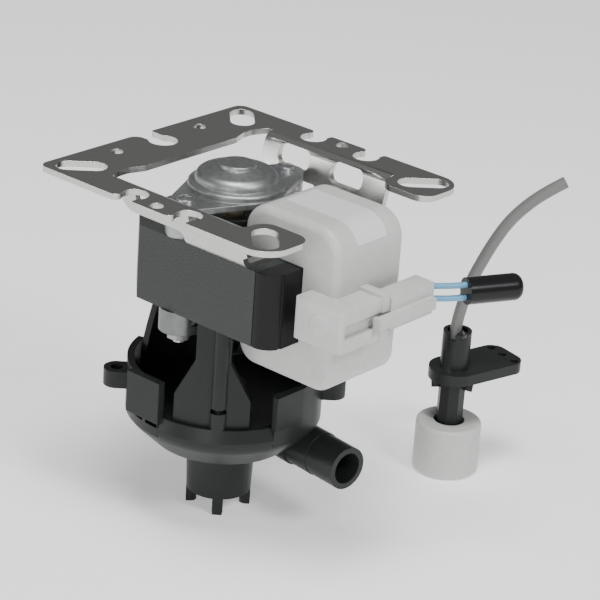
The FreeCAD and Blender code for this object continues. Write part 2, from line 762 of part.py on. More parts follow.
def stator_stack():
    left = AXIS - d.stack_left
    shoulder = d.stack_half - d.stack_chamfer
    wall = AXIS + d.window_wall
    front = [
        (left, -shoulder),
        (left + d.stack_chamfer, -d.stack_half),
        (d.arm_end, -d.stack_half),
        (d.arm_end, -window_half),
        (wall, -window_half),
    ]
    back = [(x, -y) for x, y in reversed(front)]
    stack = body("stack_form")
    pad(stack, "XY", STACK_LOW, d.stack_height, front + back)
    hole = d.bolt_radius + d.bolt_clearance
    bores = [(AXIS, 0, d.bore_radius), (AXIS, -ear_reach, hole), (AXIS, ear_reach, hole)]
    bores += [(x, y, d.screw_radius + d.bolt_clearance) for x, y in column_spots]
    pocket(stack, "XY", rings=bores)
    notch = box(
        left - 1, AXIS - d.bore_radius - 2, -d.flux_notch / 2, d.flux_notch / 2, STACK_LOW - 1, STACK_TOP + 1
    )
    legs = []
    side = d.ring_wire / 2 + 0.1
    for turn in (-1, 1):
        for reach in (d.ring_near, d.ring_far):
            x = AXIS + reach * turn
            y = ring_row * turn
            legs.append(box(x - side, x + side, y - side, y + side, STACK_LOW - 1, STACK_TOP + 1))
    grooves = [
        cylinder(d.rivet_groove, d.arm_end, turn * d.stack_half, STACK_LOW - 1, STACK_TOP + 1)
        for turn in (-1, 1)
    ]
    return cut(stack, notch, *legs, *grooves)


keep(stator_stack(), "stator_stack")


def core_bar():
    front = [
        (d.bar_left, -window_half),
        (d.arm_end, -window_half),
        (d.arm_end, -d.stack_half),
        (d.bar_right, -d.stack_half),
    ]
    back = [(x, -y) for x, y in reversed(front)]
    bar = body("bar_form")
    shape, sketch = pad(bar, "XY", STACK_LOW, d.stack_height, front + back)
    ease(bar, shape, sketch, [(d.bar_round, (3, 4))])
    corner = d.bar_right - d.bar_round
    spots = [(corner + d.bar_round * cosine(12), d.stack_half - d.bar_round + d.bar_round * sine(12))]
    grooves = []
    for x, y in spots:
        for side in (-1, 1):
            grooves.append(cylinder(d.rivet_groove, x, side * y, STACK_LOW - 1, STACK_TOP + 1))
    return cut(bar, *grooves)


keep(core_bar(), "coil_core_bar")


# Shading rings: one square copper loop through each pole, turned half a turn apart.
def shading_ring(turn):
    near = AXIS + d.ring_near * turn
    far = AXIS + d.ring_far * turn
    low = STACK_LOW - 0.3
    high = STACK_TOP + 0.3
    wire = d.ring_wire
    y = ring_row * turn
    outer = box(
        (near if turn > 0 else far) - wire / 2, (far if turn > 0 else near) + wire / 2,
        y - wire / 2, y + wire / 2, low - wire, high + wire,
    )
    inner = box(
        (near if turn > 0 else far) + wire / 2, (far if turn > 0 else near) - wire / 2,
        y - wire, y + wire, low, high,
    )
    return cut(outer, inner)


keep(group(shading_ring(-1), shading_ring(1)), "shading_rings")

# Coil: casing, bobbin and winding share the opening for the core bar.
tube = {
    "x0": d.bar_left - d.bar_clearance,
    "x1": d.bar_right + d.bar_clearance,
    "z0": STACK_LOW - d.bar_clearance,
    "z1": STACK_TOP + d.bar_clearance,
}


def tube_block(grow, half):
    return box(tube["x0"] - grow, tube["x1"] + grow, -half, half, tube["z0"] - grow, tube["z1"] + grow)


def coil_form(inset, half, name):
    """A block with the rounded outline of the casing, smaller by an inset."""
    left, right = d.coil_left + inset, d.coil_right - inset
    low, high = d.coil_bottom + inset, d.coil_top - inset
    form = body(name)
    corners = [(left, low), (right, low), (right, high), (left, high)]
    shape, sketch = pad(form, "XZ", 0, half * 2, corners, both=True)
    ease(form, shape, sketch, [(d.coil_corner_low - inset, (0, 1)), (d.coil_corner - inset, (2, 3))])
    return form


def coil_shell():
    shell = coil_form(Size(0, "0"), d.coil_half, "casing_form")
    doc.recompute()
    ends = float(d.coil_half)
    rounded = soften(shell, d.coil_edge, lambda edge: abs(abs(edge.CenterOfMass.y) - ends) < 1e-3)
    cavity = coil_form(d.coil_wall, d.coil_half - d.coil_wall, "casing_cavity")
    return cut(rounded, cavity, tube_block(Size(0, "0"), d.coil_half * 2))


keep(coil_shell(), "coil_casing")

flange = coil_form(d.coil_wall, d.coil_half - d.coil_wall, "bobbin_form")
between = box(
    d.coil_left, d.coil_right,
    -(d.coil_half - d.coil_wall - d.bobbin_wall), d.coil_half - d.coil_wall - d.bobbin_wall,
    d.coil_bottom, d.coil_top,
)
former = fuse(cut(flange, between), tube_block(d.bobbin_wall, d.coil_half - d.coil_wall))
keep(cut(former, tube_block(Size(0, "0"), d.coil_half * 2)), "coil_bobbin")

copper = coil_form(
    d.coil_wall + d.winding_gap, d.coil_half - d.coil_wall - d.bobbin_wall - d.winding_gap, "winding_form"
)
keep(cut(copper, tube_block(d.bobbin_wall + d.winding_gap, d.coil_half * 2)), "coil_winding")

# Terminal housing: runs from the casing front along its right side, open towards the plug.
pole_low = d.pole_height - d.pole_pitch / 2
pole_high = d.pole_height + d.pole_pitch / 2
socket_floor = d.socket_mouth - d.nose_length - d.plug_clearance
groove_high = d.pole_height - 1.3 + d.latch_height / 2 + d.plug_clearance
groove_low = groove_high - d.latch_height - d.plug_clearance * 2


def terminal_block():
    low = d.socket_top - d.socket_height
    block = body("terminal_form")
    shape, sketch = pad(block, "XY", low, d.socket_height, [
        (d.socket_left, d.socket_front),
        (d.socket_right, d.socket_front),
        (d.socket_right, d.socket_mouth),
        (d.coil_right, d.socket_mouth),
        (d.coil_right, -d.coil_half),
        (d.socket_left, -d.coil_half),
    ])
    ease(block, shape, sketch, [(d.socket_round, (0, 1))])
    collar = box(
        d.coil_right, d.collar_right, d.socket_mouth - d.collar_depth, d.socket_mouth, low, d.collar_top
    )
    disc = doc.addObject("Part::Cylinder", fresh("disc"))
    bind(disc, Radius=d.disc_radius, Height=d.plug_clearance * 2)
    place(disc, d.disc_x, d.socket_front + d.plug_clearance, low + d.disc_height, 90, Vector(1, 0, 0))
    clear = d.plug_clearance
    nose = box(
        d.pole_x - d.nose_width / 2 - clear, d.pole_x + d.nose_width / 2 + clear,
        socket_floor, d.socket_mouth + 1,
        d.pole_height - d.nose_height / 2 - clear, d.pole_height + d.nose_height / 2 + clear,
    )
    groove = box(
        d.socket_right - 0.5, d.collar_right + 1,
        d.socket_front + 2, d.socket_mouth + 1,
        groove_low, groove_high,
    )
    return cut(fuse(block, collar, disc), nose, groove)


def contact_pins(grow=0):
    half = d.pin_side / 2 + grow
    start = socket_floor - 3
    return [
        box(d.pole_x - half, d.pole_x + half, start, start + d.pin_length, z - half, z + half)
        for z in (pole_low, pole_high)
    ]


# The corner of the casing is rounded, so the housing is fitted to it.
casing_block = coil_form(Size(0, "0"), d.coil_half, "casing_core")
ends_at = float(d.coil_half)
doc.recompute()
fitted = soften(casing_block, d.coil_edge, lambda edge: abs(abs(edge.CenterOfMass.y) - ends_at) < 1e-3)
filler = box(d.coil_right - d.coil_edge, d.coil_right, -d.coil_half, -d.coil_half + d.coil_edge,
             d.socket_top - d.socket_height, d.socket_top)
keep(cut(fuse(terminal_block(), cut(filler, fitted)), *contact_pins()), "terminal_housing")
keep(group(*contact_pins()), "terminal_pins")


# Bearing brackets: turned centres with two ears each.
def ears(radius, low, high):
    """The rhombic flange of a bracket: straight edges from the round middle to both ears."""
    plate = body("ear_plate", AXIS, 0)
    lean = (d.flange_radius - radius) / ear_reach
    side = Size(math.sqrt(1 - float(lean) ** 2), "sqrt(1 - (%s) ^ 2)" % lean.text)
    near = (d.flange_radius * side, -d.flange_radius * lean)
    far = (radius * side, -ear_reach - radius * lean)
    outer = [(-near[0], near[1]), (-far[0], far[1]), far, near]
    pad(plate, "XY", low, high - low, outer + [(-x, -y) for x, y in outer])
    rounds = [cylinder(radius, AXIS, side * ear_reach, low, high) for side in (-1, 1)]
    return [plate, *rounds]


def bolt_holes():
    hole = d.bolt_radius + d.bolt_clearance
    return [cylinder(hole, AXIS, side * ear_reach, STACK_LOW * 2, 0) for side in (-1, 1)]


bearing_top = d.upper_bearing_low + d.bearing_height
retainer = d.washer_height * 0.8
bearing_lip = d.shaft_radius + 1
dome_inner = d.dome_radius - d.dome_sheet
shoulder = d.dome_top - d.dome_step - d.dome_fall
wall_end = d.dome_top - d.dome_depth
dome = body("dome_form", AXIS, 0)
revolve(dome, [
    (0, d.dome_top),
    (d.dome_disc, d.dome_top),
    (d.dome_disc + 0.3, d.dome_top - d.dome_step),
    (d.dome_radius - 0.3, shoulder),
    (d.dome_radius, wall_end),
    (d.dome_ring, wall_end - 0.5),
    (d.dome_ring, d.flange_top),
    (d.flange_radius, d.flange_top),
    (d.flange_radius, d.flange_top - d.flange_sheet),
    (dome_inner, d.flange_top - d.flange_sheet),
    (dome_inner, shoulder - d.dome_sheet * 1.6),
    (d.hub_radius, shoulder - d.dome_sheet),
    (d.hub_radius, d.upper_bearing_low - retainer),
    (d.bearing_radius, d.upper_bearing_low - retainer),
    (d.bearing_radius, bearing_top),
    (bearing_lip, bearing_top),
    (bearing_lip, d.shaft_top + 1.5),
    (0, d.shaft_top + 1.5),
])


def turned_edge(radius, level):
    """Picks the round edge of a turned form at a radius and a height."""
    def chosen(edge):
        if not isinstance(edge.Curve, Part.Circle) or not edge.Closed:
            return False
        return abs(edge.Curve.Radius - radius) < 1e-3 and abs(edge.CenterOfMass.z - level) < 1e-3
    return chosen


dome = soften(dome, d.dome_step / 3, turned_edge(float(d.dome_disc), float(d.dome_top)))
dome = soften(dome, d.ring_round, turned_edge(float(d.dome_ring), float(wall_end) - 0.5))
dome = soften(dome, d.dome_round, turned_edge(float(d.dome_radius) - 0.3, float(shoulder)))
dome_space = cylinder(dome_inner, AXIS, 0, STACK_TOP, d.flange_top)
upper_ears = cut(fuse(*ears(d.ear_radius, d.flange_top - d.flange_sheet, d.flange_top)), dome_space)
posts = [cylinder(d.ear_radius, AXIS, side * ear_reach, STACK_TOP, d.flange_top) for side in (-1, 1)]
keep(cut(fuse(dome, upper_ears, *posts), *bolt_holes()), "upper_bearing_bracket")

low_face = STACK_LOW - d.low_ear_height
low_plate = low_face + d.flange_thick
bearing_low = d.lower_bearing_high - d.bearing_height
cup = body("hub_form", AXIS, 0)
revolve(cup, [
    (d.bearing_radius, low_plate),
    (d.flange_radius, low_plate),
    (d.flange_radius, low_face),
    (d.hub_radius, low_face),
    (d.hub_radius, bearing_low - 1.5),
    (bearing_lip, bearing_low - 1.5),
    (bearing_lip, bearing_low),
    (d.bearing_radius, bearing_low),
])
pocket_space = cylinder(d.bearing_radius, AXIS, 0, STACK_LOW * 2, STACK_LOW)
lower_ears = cut(fuse(*ears(d.low_ear_radius, low_face, low_plate)), pocket_space)
feet = [cylinder(d.low_ear_radius, AXIS, side * ear_reach, low_face, STACK_LOW) for side in (-1, 1)]
keep(cut(fuse(cup, lower_ears, *feet), *bolt_holes()), "lower_bearing_bracket")


def sleeve(label, low, high, inner, outer, x=AXIS, y=0):
    ring_body = body("sleeve", x, y)
    revolve(ring_body, [(inner, low), (outer, low), (outer, high), (inner, high)])
    return keep(ring_body, label) if label else ring_body


bearing_bore = d.shaft_radius + d.running_fit
sleeve("upper_bearing", d.upper_bearing_low, bearing_top, bearing_bore, d.bearing_radius)
sleeve("lower_bearing", bearing_low, d.lower_bearing_high, bearing_bore, d.bearing_radius)
retainers = [
    sleeve(None, level, level + retainer, d.shaft_radius + 1, d.bearing_radius)
    for level in (d.upper_bearing_low - retainer, d.lower_bearing_high)
]
keep(group(*retainers), "bearing_retainers")


# Screws: two through bolts with nuts, two frame screws and two pump screws.
def hexagon(radius, x, y, low, high):
    prism = doc.addObject("Part::Prism", fresh("hexagon"))
    prism.Polygon = 6
    bind(prism, Circumradius=radius, Height=high - low)
    return place(prism, x, y, low)


bolt_end = low_face - d.nut_height - 1.2
bolts = []
nuts = []
for side in (-1, 1):
    y = side * ear_reach
    head = cylinder(d.bolt_head, AXIS, y, d.flange_top, d.flange_top + d.bolt_head_height)
    socket = cylinder(d.bolt_head * 0.45, AXIS, y, d.flange_top + d.bolt_head_height * 0.4, 0)
    bolts.append(cut(fuse(cylinder(d.bolt_radius, AXIS, y, bolt_end, d.flange_top), head), socket))
    nut = hexagon(d.nut_radius, AXIS, y, low_face - d.nut_height, low_face)
    nuts.append(cut(nut, cylinder(d.bolt_radius, AXIS, y, bolt_end, low_face + 1)))
keep(group(*bolts), "through_bolts")
keep(group(*nuts), "through_nuts")

foot_top = STACK_TOP + d.plate_thickness
frame_screws = []
for x, y in column_spots:
    head = cylinder(d.screw_head, x, y, foot_top, foot_top + d.screw_head_height)
    slot = box(
        x - d.screw_head * 2, x + d.screw_head * 2, y - 0.35, y + 0.35,
        foot_top + d.screw_head_height * 0.5, foot_top + d.screw_head_height * 2,
    )
    shank = cylinder(d.screw_radius, x, y, STACK_LOW - d.frame_screw_depth, foot_top)
    frame_screws.append(cut(fuse(shank, head), slot))
keep(group(*frame_screws), "frame_screws")

pump_screws = []
for x, y in column_spots:
    shank = cylinder(d.pump_screw_radius, x, y, d.pump_screw_seat - d.pump_screw_length, d.pump_screw_seat)
    head = cylinder(d.pump_screw_head, x, y, d.pump_screw_seat, d.pump_screw_seat + 1.8)
    pump_screws.append(fuse(shank, head))
keep(group(*pump_screws), "pump_screws")

# Motor mount: a cover over the pump chamber and three pillars up to the stack.
cover_top = d.cover_low + d.cover_thick


def pillar(turn):
    """A flat wall with a gusset each side, cut to the round of the cover."""
    wall = body("pillar_form", AXIS, 0, turn)
    narrow, wide = d.pillar_half, d.gusset_half
    right = [(narrow, STACK_LOW), (narrow, d.gusset_top), (wide, d.gusset_low), (wide, d.cover_low)]
    left = [(-y, z) for y, z in reversed(right)]
    pad(wall, "YZ", cover_radius * 0.6, cover_radius * 0.6, right + left)
    return wall


inner_wall = cylinder(cover_radius - d.pillar_wall, AXIS, 0, d.cover_low - 1, STACK_TOP)
outer_wall = cylinder(cover_radius, AXIS, 0, d.cover_low, STACK_LOW)
walls = [pillar(turn) for turn in (-d.pillar_turn, d.pillar_turn, Size(180, "180"))]
pillars = common(cut(outer_wall, inner_wall), fuse(*walls))
left_pad = box(
    AXIS - cover_radius + d.pillar_wall / 2, AXIS - d.stack_left + 4,
    -d.pillar_half * 0.7, d.pillar_half * 0.7, STACK_LOW - 3, STACK_LOW,
)
columns = [cylinder(d.column_radius, x, y, d.column_low, STACK_LOW) for x, y in column_spots]
cover_plate = cylinder(cover_radius, AXIS, 0, d.cover_low, cover_top)
cover_hub = cylinder(d.hub_radius, AXIS, 0, cover_top, cover_top + d.cover_hub_height)
shaft_hole = cylinder(
    d.shaft_radius + 1, AXIS, 0, d.cover_low - 1, cover_top + d.cover_hub_height + 1
)
column_bores = [cylinder(d.screw_radius, x, y, d.pump_screw_seat, STACK_LOW + 1) for x, y in column_spots]
column_ends = [cylinder(d.pump_screw_radius + 0.3, x, y, d.cover_low, STACK_LOW) for x, y in column_spots]
boss_spaces = [
    cylinder(d.boss_radius + d.boss_clearance, x, y, d.cover_low - 1, d.column_low)
    for x, y in column_spots
]
keep(
    cut(
        fuse(pillars, left_pad, cover_plate, cover_hub, *columns),
        shaft_hole, *column_bores, *column_ends, *boss_spaces,
    ),
    "motor_mount",
)

# Pump housing: bowl, clip ring, inlet cup with four feet and tangential outlet spigot.
ledge = d.cover_low - d.seal_height
cup_inner = d.cup_radius - d.cup_wall


def bowl_outside():
    """The turned outside with its sloping underside, both ends of the slope rounded."""
    turned = body("bowl_form", AXIS, 0)
    slope_low = d.bowl_radius - d.bowl_slope
    revolve(turned, [
        (0, ledge),
        (bowl_inner, ledge),
        (bowl_inner, d.ring_low),
        (d.bowl_radius - 1.2, d.ring_low),
        (d.bowl_radius, d.bowl_edge + 3.0),
        (d.bowl_radius, d.bowl_edge),
        (slope_low, d.bowl_floor),
        (d.cup_radius + d.cup_taper, d.bowl_floor),
        (d.cup_radius, d.cup_rim),
        (0, d.cup_rim),
    ])
    upper = turned_edge(float(d.bowl_radius), float(d.bowl_edge))
    lower = turned_edge(float(slope_low), float(d.bowl_floor))
    return soften(turned, d.bowl_round, lambda edge: upper(edge) or lower(edge))


chamber_radius = column_reach - d.boss_radius - d.chamber_ledge


def chamber_form():
    """The space for the impeller, with the inlet under it."""
    space = body("chamber_form", AXIS, 0)
    slope = d.chamber_slope
    revolve(space, [
        (0, ledge + 1),
        (chamber_radius, ledge + 1),
        (chamber_radius, d.chamber_low + slope),
        (chamber_radius - slope, d.chamber_low),
        (cup_inner, d.chamber_low),
        (cup_inner, d.cup_rim - 1),
        (0, d.cup_rim - 1),
    ])
    return space


def clip_ring(start, span):
    outer = cylinder(d.bowl_radius, AXIS, 0, d.bowl_edge + 0.5, d.ring_top)
    bind(outer, Angle=span)
    place(outer, AXIS, 0, d.bowl_edge + 0.5, start)
    return cut(outer, cylinder(bowl_inner, AXIS, 0, d.bowl_edge - 1, d.ring_top + 1))


clip_face = d.bowl_radius + d.clip_proud


def clip_panel(side):
    middle = AXIS - d.clip_shift
    outer = side * clip_face
    inner = side * (clip_face - d.clip_thick)
    low, high = (outer, inner) if side < 0 else (inner, outer)
    left, right = middle - d.clip_width / 2, middle + d.clip_width / 2
    return box(left, right, low, high, d.clip_top - d.clip_height, d.clip_top)


def clip_slots(side):
    middle = AXIS - d.clip_shift
    reach = d.clip_slot / 2 + 0.8
    low, high = (-clip_face - 1, -bowl_inner + 4) if side < 0 else (bowl_inner - 4, clip_face + 1)
    top = d.clip_top - d.clip_height
    return [
        box(x - d.clip_slot / 2, x + d.clip_slot / 2, low, high, top - d.clip_slot_height, top)
        for x in (middle - reach, middle + reach)
    ]


def lug(turn):
    """A rounded ear on the clip ring with an upright hole."""
    arm = body("lug_form", AXIS, 0, turn)
    half = d.lug_width / 2
    low = d.lug_top - d.lug_height
    reach = d.bowl_radius + d.lug_reach - half
    pad(arm, "XY", low, d.lug_height, [
        (d.bowl_radius - 1, -half), (reach, -half), (reach, half), (d.bowl_radius - 1, half),
    ])
    x, y = polar(reach, turn, AXIS, 0)
    ear = fuse(arm, cylinder(half, x, y, low, d.lug_top))
    return cut(ear, cylinder(d.lug_hole / 2, x, y, low - 1, d.lug_top + 1))


def spigot(radius, start, end, name):
    """A level cylinder along the outlet, from one distance to another."""
    item = doc.addObject("Part::Cylinder", fresh(name))
    bind(item, Radius=radius, Height=end - start)
    run = Vector(math.cos(math.radians(d.spigot_turn)), math.sin(math.radians(d.spigot_turn)), 0)
    x = AXIS + start * cosine(d.spigot_turn) - d.spigot_offset * sine(d.spigot_turn)
    y = start * sine(d.spigot_turn) + d.spigot_offset * cosine(d.spigot_turn)
    item.Placement = Placement(Vector(), Rotation(Vector(0, 0, 1), run))
    for letter, value in zip("xyz", (x, y, d.spigot_height)):
        item.setExpression("Placement.Base." + letter, text_of(value))
    return item


def cup_foot(number):
    turn = d.foot_turn + 90 * number
    foot = body("foot_form", AXIS, 0, turn)
    half = d.foot_width / 2
    near = cup_inner + d.foot_inset
    far = d.cup_radius - d.foot_inset
    corners = [(near, -half), (far, -half), (far, half), (near, half)]
    pad(foot, "XY", d.foot_low, d.cup_rim + 4 - d.foot_low, corners)
    return foot


right_panel = box(
    AXIS + clip_face - d.clip_thick, AXIS + clip_face - d.clip_proud,
    d.right_panel_near, d.right_panel_far, d.ring_top - d.right_panel_height, d.ring_top,
)
bosses = [cylinder(d.boss_radius, x, y, d.bowl_edge - 1, d.boss_top) for x, y in column_spots]
boss_bores = [cylinder(d.pump_screw_radius, x, y, d.bowl_edge + 2, 0) for x, y in column_spots]
column_gaps = [
    cylinder(d.column_radius + d.boss_clearance, x, y, d.boss_top, d.ring_top + 1) for x, y in column_spots
]
outside = fuse(
    bowl_outside(), clip_ring(d.back_ring_turn, d.ring_span), clip_ring(d.left_ring_turn, d.ring_span),
    clip_ring(d.right_ring_turn, d.right_ring_span),
    clip_panel(-1), clip_panel(1), right_panel,
    lug(d.lug_turn), lug(d.lug_turn - 180), *bosses,
    spigot(d.spigot_radius + d.spigot_neck, d.spigot_start, d.spigot_neck_end, "spigot_root"),
    spigot(d.spigot_radius + d.spigot_stop, d.spigot_start, d.spigot_stop_end, "spigot_shoulder"),
    spigot(d.spigot_radius, d.spigot_start, d.spigot_end, "spigot_tube"),
    *[cup_foot(number) for number in range(4)],
)
cover_space = cylinder(bowl_inner, AXIS, 0, ledge, d.ring_top + 1)
outlet = spigot(d.spigot_bore, d.throat_end - 1, d.spigot_end + 1, "outlet_bore")
throat = spigot(d.spigot_bore + d.throat_wider, d.throat_start, d.throat_end, "throat")
shell = cut(
    outside, chamber_form(), cut(cover_space, *bosses), outlet, throat,
    *boss_bores, *column_gaps, *clip_slots(-1), *clip_slots(1),
)
keep(shell, "pump_housing")
seal_inner = chamber_radius + d.seal_gap
sleeve("housing_seal", ledge, d.cover_low, seal_inner, seal_inner + d.seal_width)

# Rotor: laminated core with a cast cage, thrust washers, shaft, slinger and impeller.
core_radius = d.bore_radius - d.air_gap
bar_circle = d.cage_radius - d.cage_bar - 0.4


def cage_bars_form():
    bars = body("cage_bars_form", AXIS, 0)
    length = d.stack_height + d.cage_ring
    first, sketch = pad(bars, "XY", STACK_LOW - d.cage_ring / 2, length, rings=[(bar_circle, 0, d.cage_bar)])
    ring_core = [
        (STACK_LOW - d.cage_ring, STACK_LOW),
        (STACK_TOP, STACK_TOP + d.cage_ring),
    ]
    return bars, first, sketch, ring_core


bars, first_bar, bar_sketch, ring_levels = cage_bars_form()
pattern = bars.newObject("PartDesign::PolarPattern", "cage_pattern")
pattern.Originals = [first_bar]
pattern.Axis = (bar_sketch, ["N_Axis"])
pattern.Angle = 360
pattern.setExpression("Occurrences", "Sizes.cage_bars")
bars.Tip = pattern
end_rings = [sleeve(None, low, high, d.cage_radius - 4, d.cage_radius) for low, high in ring_levels]
keep(cut(sleeve(None, STACK_LOW, STACK_TOP, d.shaft_radius, core_radius), bars), "rotor_core")
keep(fuse(bars, *end_rings), "rotor_cage")
keep(cylinder(d.shaft_radius, AXIS, 0, d.shaft_bottom, d.shaft_top, "shaft"), "shaft")


def washer(core_face, washer_face, toward):
    form = body("washer_form", AXIS, 0)
    edge = washer_face - toward * d.washer_height
    revolve(form, [
        (d.shaft_radius, core_face),
        (d.shaft_radius + 1.2, core_face),
        (d.shaft_radius + 1.2, edge),
        (d.washer_radius, edge),
        (d.washer_radius, washer_face),
        (d.shaft_radius, washer_face),
    ])
    return form


upper_face = d.upper_bearing_low - retainer - 0.3
lower_face = d.lower_bearing_high + retainer + 0.3
keep(group(washer(STACK_TOP, upper_face, 1), washer(STACK_LOW, lower_face, -1)), "thrust_washers")

flinger = body("slinger_form", AXIS, 0)
revolve(flinger, [
    (d.shaft_radius, d.slinger_top + 1.5),
    (d.shaft_radius + 2, d.slinger_top + 1.5),
    (d.shaft_radius + 2, d.slinger_top),
    (d.slinger_radius, d.slinger_top),
    (d.slinger_radius, d.slinger_top - 1),
    (d.shaft_radius, d.slinger_top - 1),
])
keep(flinger, "slinger")


def pump_impeller():
    low = d.impeller_top - d.impeller_height
    wheel = body("wheel_form", AXIS, 0)
    revolve(wheel, [
        (0, low),
        (d.shaft_radius * 2, low),
        (d.shaft_radius * 2, d.impeller_top - 1.6),
        (d.impeller_radius, d.impeller_top - 1.6),
        (d.impeller_radius, d.impeller_top),
        (0, d.impeller_top),
    ])
    vanes = body("vane_form", AXIS, 0)
    vane, sketch = pad(vanes, "XY", low, d.impeller_height - 0.8, [
        (d.shaft_radius * 1.5, -0.7),
        (d.impeller_radius * 0.55, -1.9),
        (d.impeller_radius * 0.97, -4.6),
        (d.impeller_radius * 0.97, -3.2),
        (d.impeller_radius * 0.55, -0.5),
        (d.shaft_radius * 1.5, 0.7),
    ])
    spread = vanes.newObject("PartDesign::PolarPattern", "vane_pattern")
    spread.Originals = [vane]
    spread.Axis = (sketch, ["N_Axis"])
    spread.Angle = 360
    spread.setExpression("Occurrences", "Sizes.vane_count")
    vanes.Tip = spread
    return cut(fuse(wheel, vanes), cylinder(d.shaft_radius, AXIS, 0, d.shaft_bottom, 0))


keep(pump_impeller(), "impeller")

# Plug: housing with a latch arm, two contacts, two leads and an end cap.
nose_front = socket_floor + d.plug_clearance
plug_front = d.socket_mouth + d.plug_clearance
plug_body = box(d.plug_left, d.plug_right, plug_front, d.plug_end, d.plug_bottom, d.plug_top)
plug_nose = box(
    d.pole_x - d.nose_width / 2, d.pole_x + d.nose_width / 2, nose_front, plug_front + 1,
    d.pole_height - d.nose_height / 2, d.pole_height + d.nose_height / 2,
)
back_end = float(d.plug_end)
rounded_plug = soften(plug_body, d.plug_round, lambda edge: abs(edge.CenterOfMass.y - back_end) < 1e-3)
latch_low = groove_low + d.plug_clearance
latch_high = groove_high - d.plug_clearance
latch = box(d.plug_right, d.plug_right + d.latch_side, d.latch_tip, d.plug_end - 2, latch_low, latch_high)
hook = box(d.socket_right + 0.3, d.plug_right, d.latch_tip, d.latch_tip + 1.5, latch_low, latch_high)
lead_x = d.plug_right - 2.5
lead_radius = d.lead_width / 2
tunnels = []
contacts = []
for z in (pole_low, pole_high):
    half = d.pin_side / 2
    wide = half + d.plug_clearance + 0.3
    near, far = d.pole_x - wide, d.pole_x + wide
    tunnels.append(box(near, far, nose_front - 1, plug_front + 4, z - wide, z + wide))
    outer = box(near, far, nose_front + 0.5, plug_front + 4, z - wide, z + wide)
    gap = half + d.plug_clearance
    inner = box(d.pole_x - gap, d.pole_x + gap, nose_front, plug_front + 3, z - gap, z + gap)
    contacts.append(cut(outer, inner))


def path(points):
    """A wire of straight runs joined by tangent arcs, and the radii of its arcs."""
    spots = [Vector(*[float(value) for value in point]) for point in points]
    runs = [b - a for a, b in zip(spots, spots[1:])]
    edges = []
    radii = []
    start = spots[0]
    for index in range(1, len(spots) - 1):
        before, after = runs[index - 1], runs[index]
        turn = before.getAngle(after)
        reach = 0.45 * min(before.Length, after.Length)
        radius = reach / math.tan(turn / 2)
        first = spots[index] - before.normalize() * reach
        last = spots[index] + Vector(after).normalize() * reach
        before, after = (spots[index] - first), (last - spots[index])
        toward = (after - before).normalize()
        centre = spots[index] + toward * (radius / math.cos(turn / 2))
        edges.append(Part.LineSegment(start, first).toShape())
        edges.append(Part.Arc(first, centre - toward * radius, last).toShape())
        radii.append(radius)
        start = last
        runs[index - 1] = spots[index] - spots[index - 1]
    edges.append(Part.LineSegment(start, spots[-1]).toShape())
    return Part.Wire(edges), radii


def round_sweep(points, radius):
    """A round solid along a path, with its volume set against section times length."""
    wire, radii = path(points)
    start = wire.OrderedEdges[0]
    along = start.tangentAt(start.FirstParameter)
    section = Part.Wire(Part.Circle(start.valueAt(start.FirstParameter), along, float(radius)).toShape())
    solid = wire.makePipeShell([section], True, False)
    ratio = solid.Volume / (math.pi * float(radius) ** 2 * wire.Length)
    print("sweep: volume over section times length %.4f, arcs %s" % (ratio, ["%.1f" % r for r in radii]))
    return solid


def lead(z):
    cap_run = Vector(math.cos(math.radians(d.cap_turn)), math.sin(math.radians(d.cap_turn)), 0)
    back = Vector(float(d.cap_x), float(d.cap_y), 0) - cap_run * 5
    inside = Vector(float(d.cap_x), float(d.cap_y), 0) + cap_run * 3
    points = [
        (lead_x, d.plug_end - 2.5, z),
        (lead_x, d.plug_end + 1.6, z),
        (back.x, back.y, float(z)),
        (inside.x, inside.y, float(z)),
    ]
    return feature(round_sweep(points, lead_radius), "lead")


leads = [lead(z) for z in (pole_low, pole_high)]
lead_set = group(*leads)
keep(cut(fuse(rounded_plug, plug_nose, latch, hook), *tunnels, *leads), "plug_housing")
keep(group(*contacts), "plug_contacts")
keep(lead_set, "plug_leads")


def end_cap():
    """A dipped cap over both lead ends, closed and rounded at the far end."""
    item = doc.addObject("Part::Cylinder", fresh("cap"))
    bind(item, Radius=d.cap_radius, Height=d.cap_length)
    run = Vector(math.cos(math.radians(d.cap_turn)), math.sin(math.radians(d.cap_turn)), 0)
    mouth = Vector(float(d.cap_x), float(d.cap_y), float(d.pole_height))
    item.Placement = Placement(mouth, Rotation(Vector(0, 0, 1), run))
    for letter, value in zip("xyz", (d.cap_x, d.cap_y, d.pole_height)):
        item.setExpression("Placement.Base." + letter, text_of(value))
    far = mouth + run * float(d.cap_length)
    domed = soften(item, d.cap_radius * 0.6, lambda edge: edge.CenterOfMass.distanceToPoint(far) < 0.1)
    return cut(domed, *leads)


keep(end_cap(), "lead_end_cap")

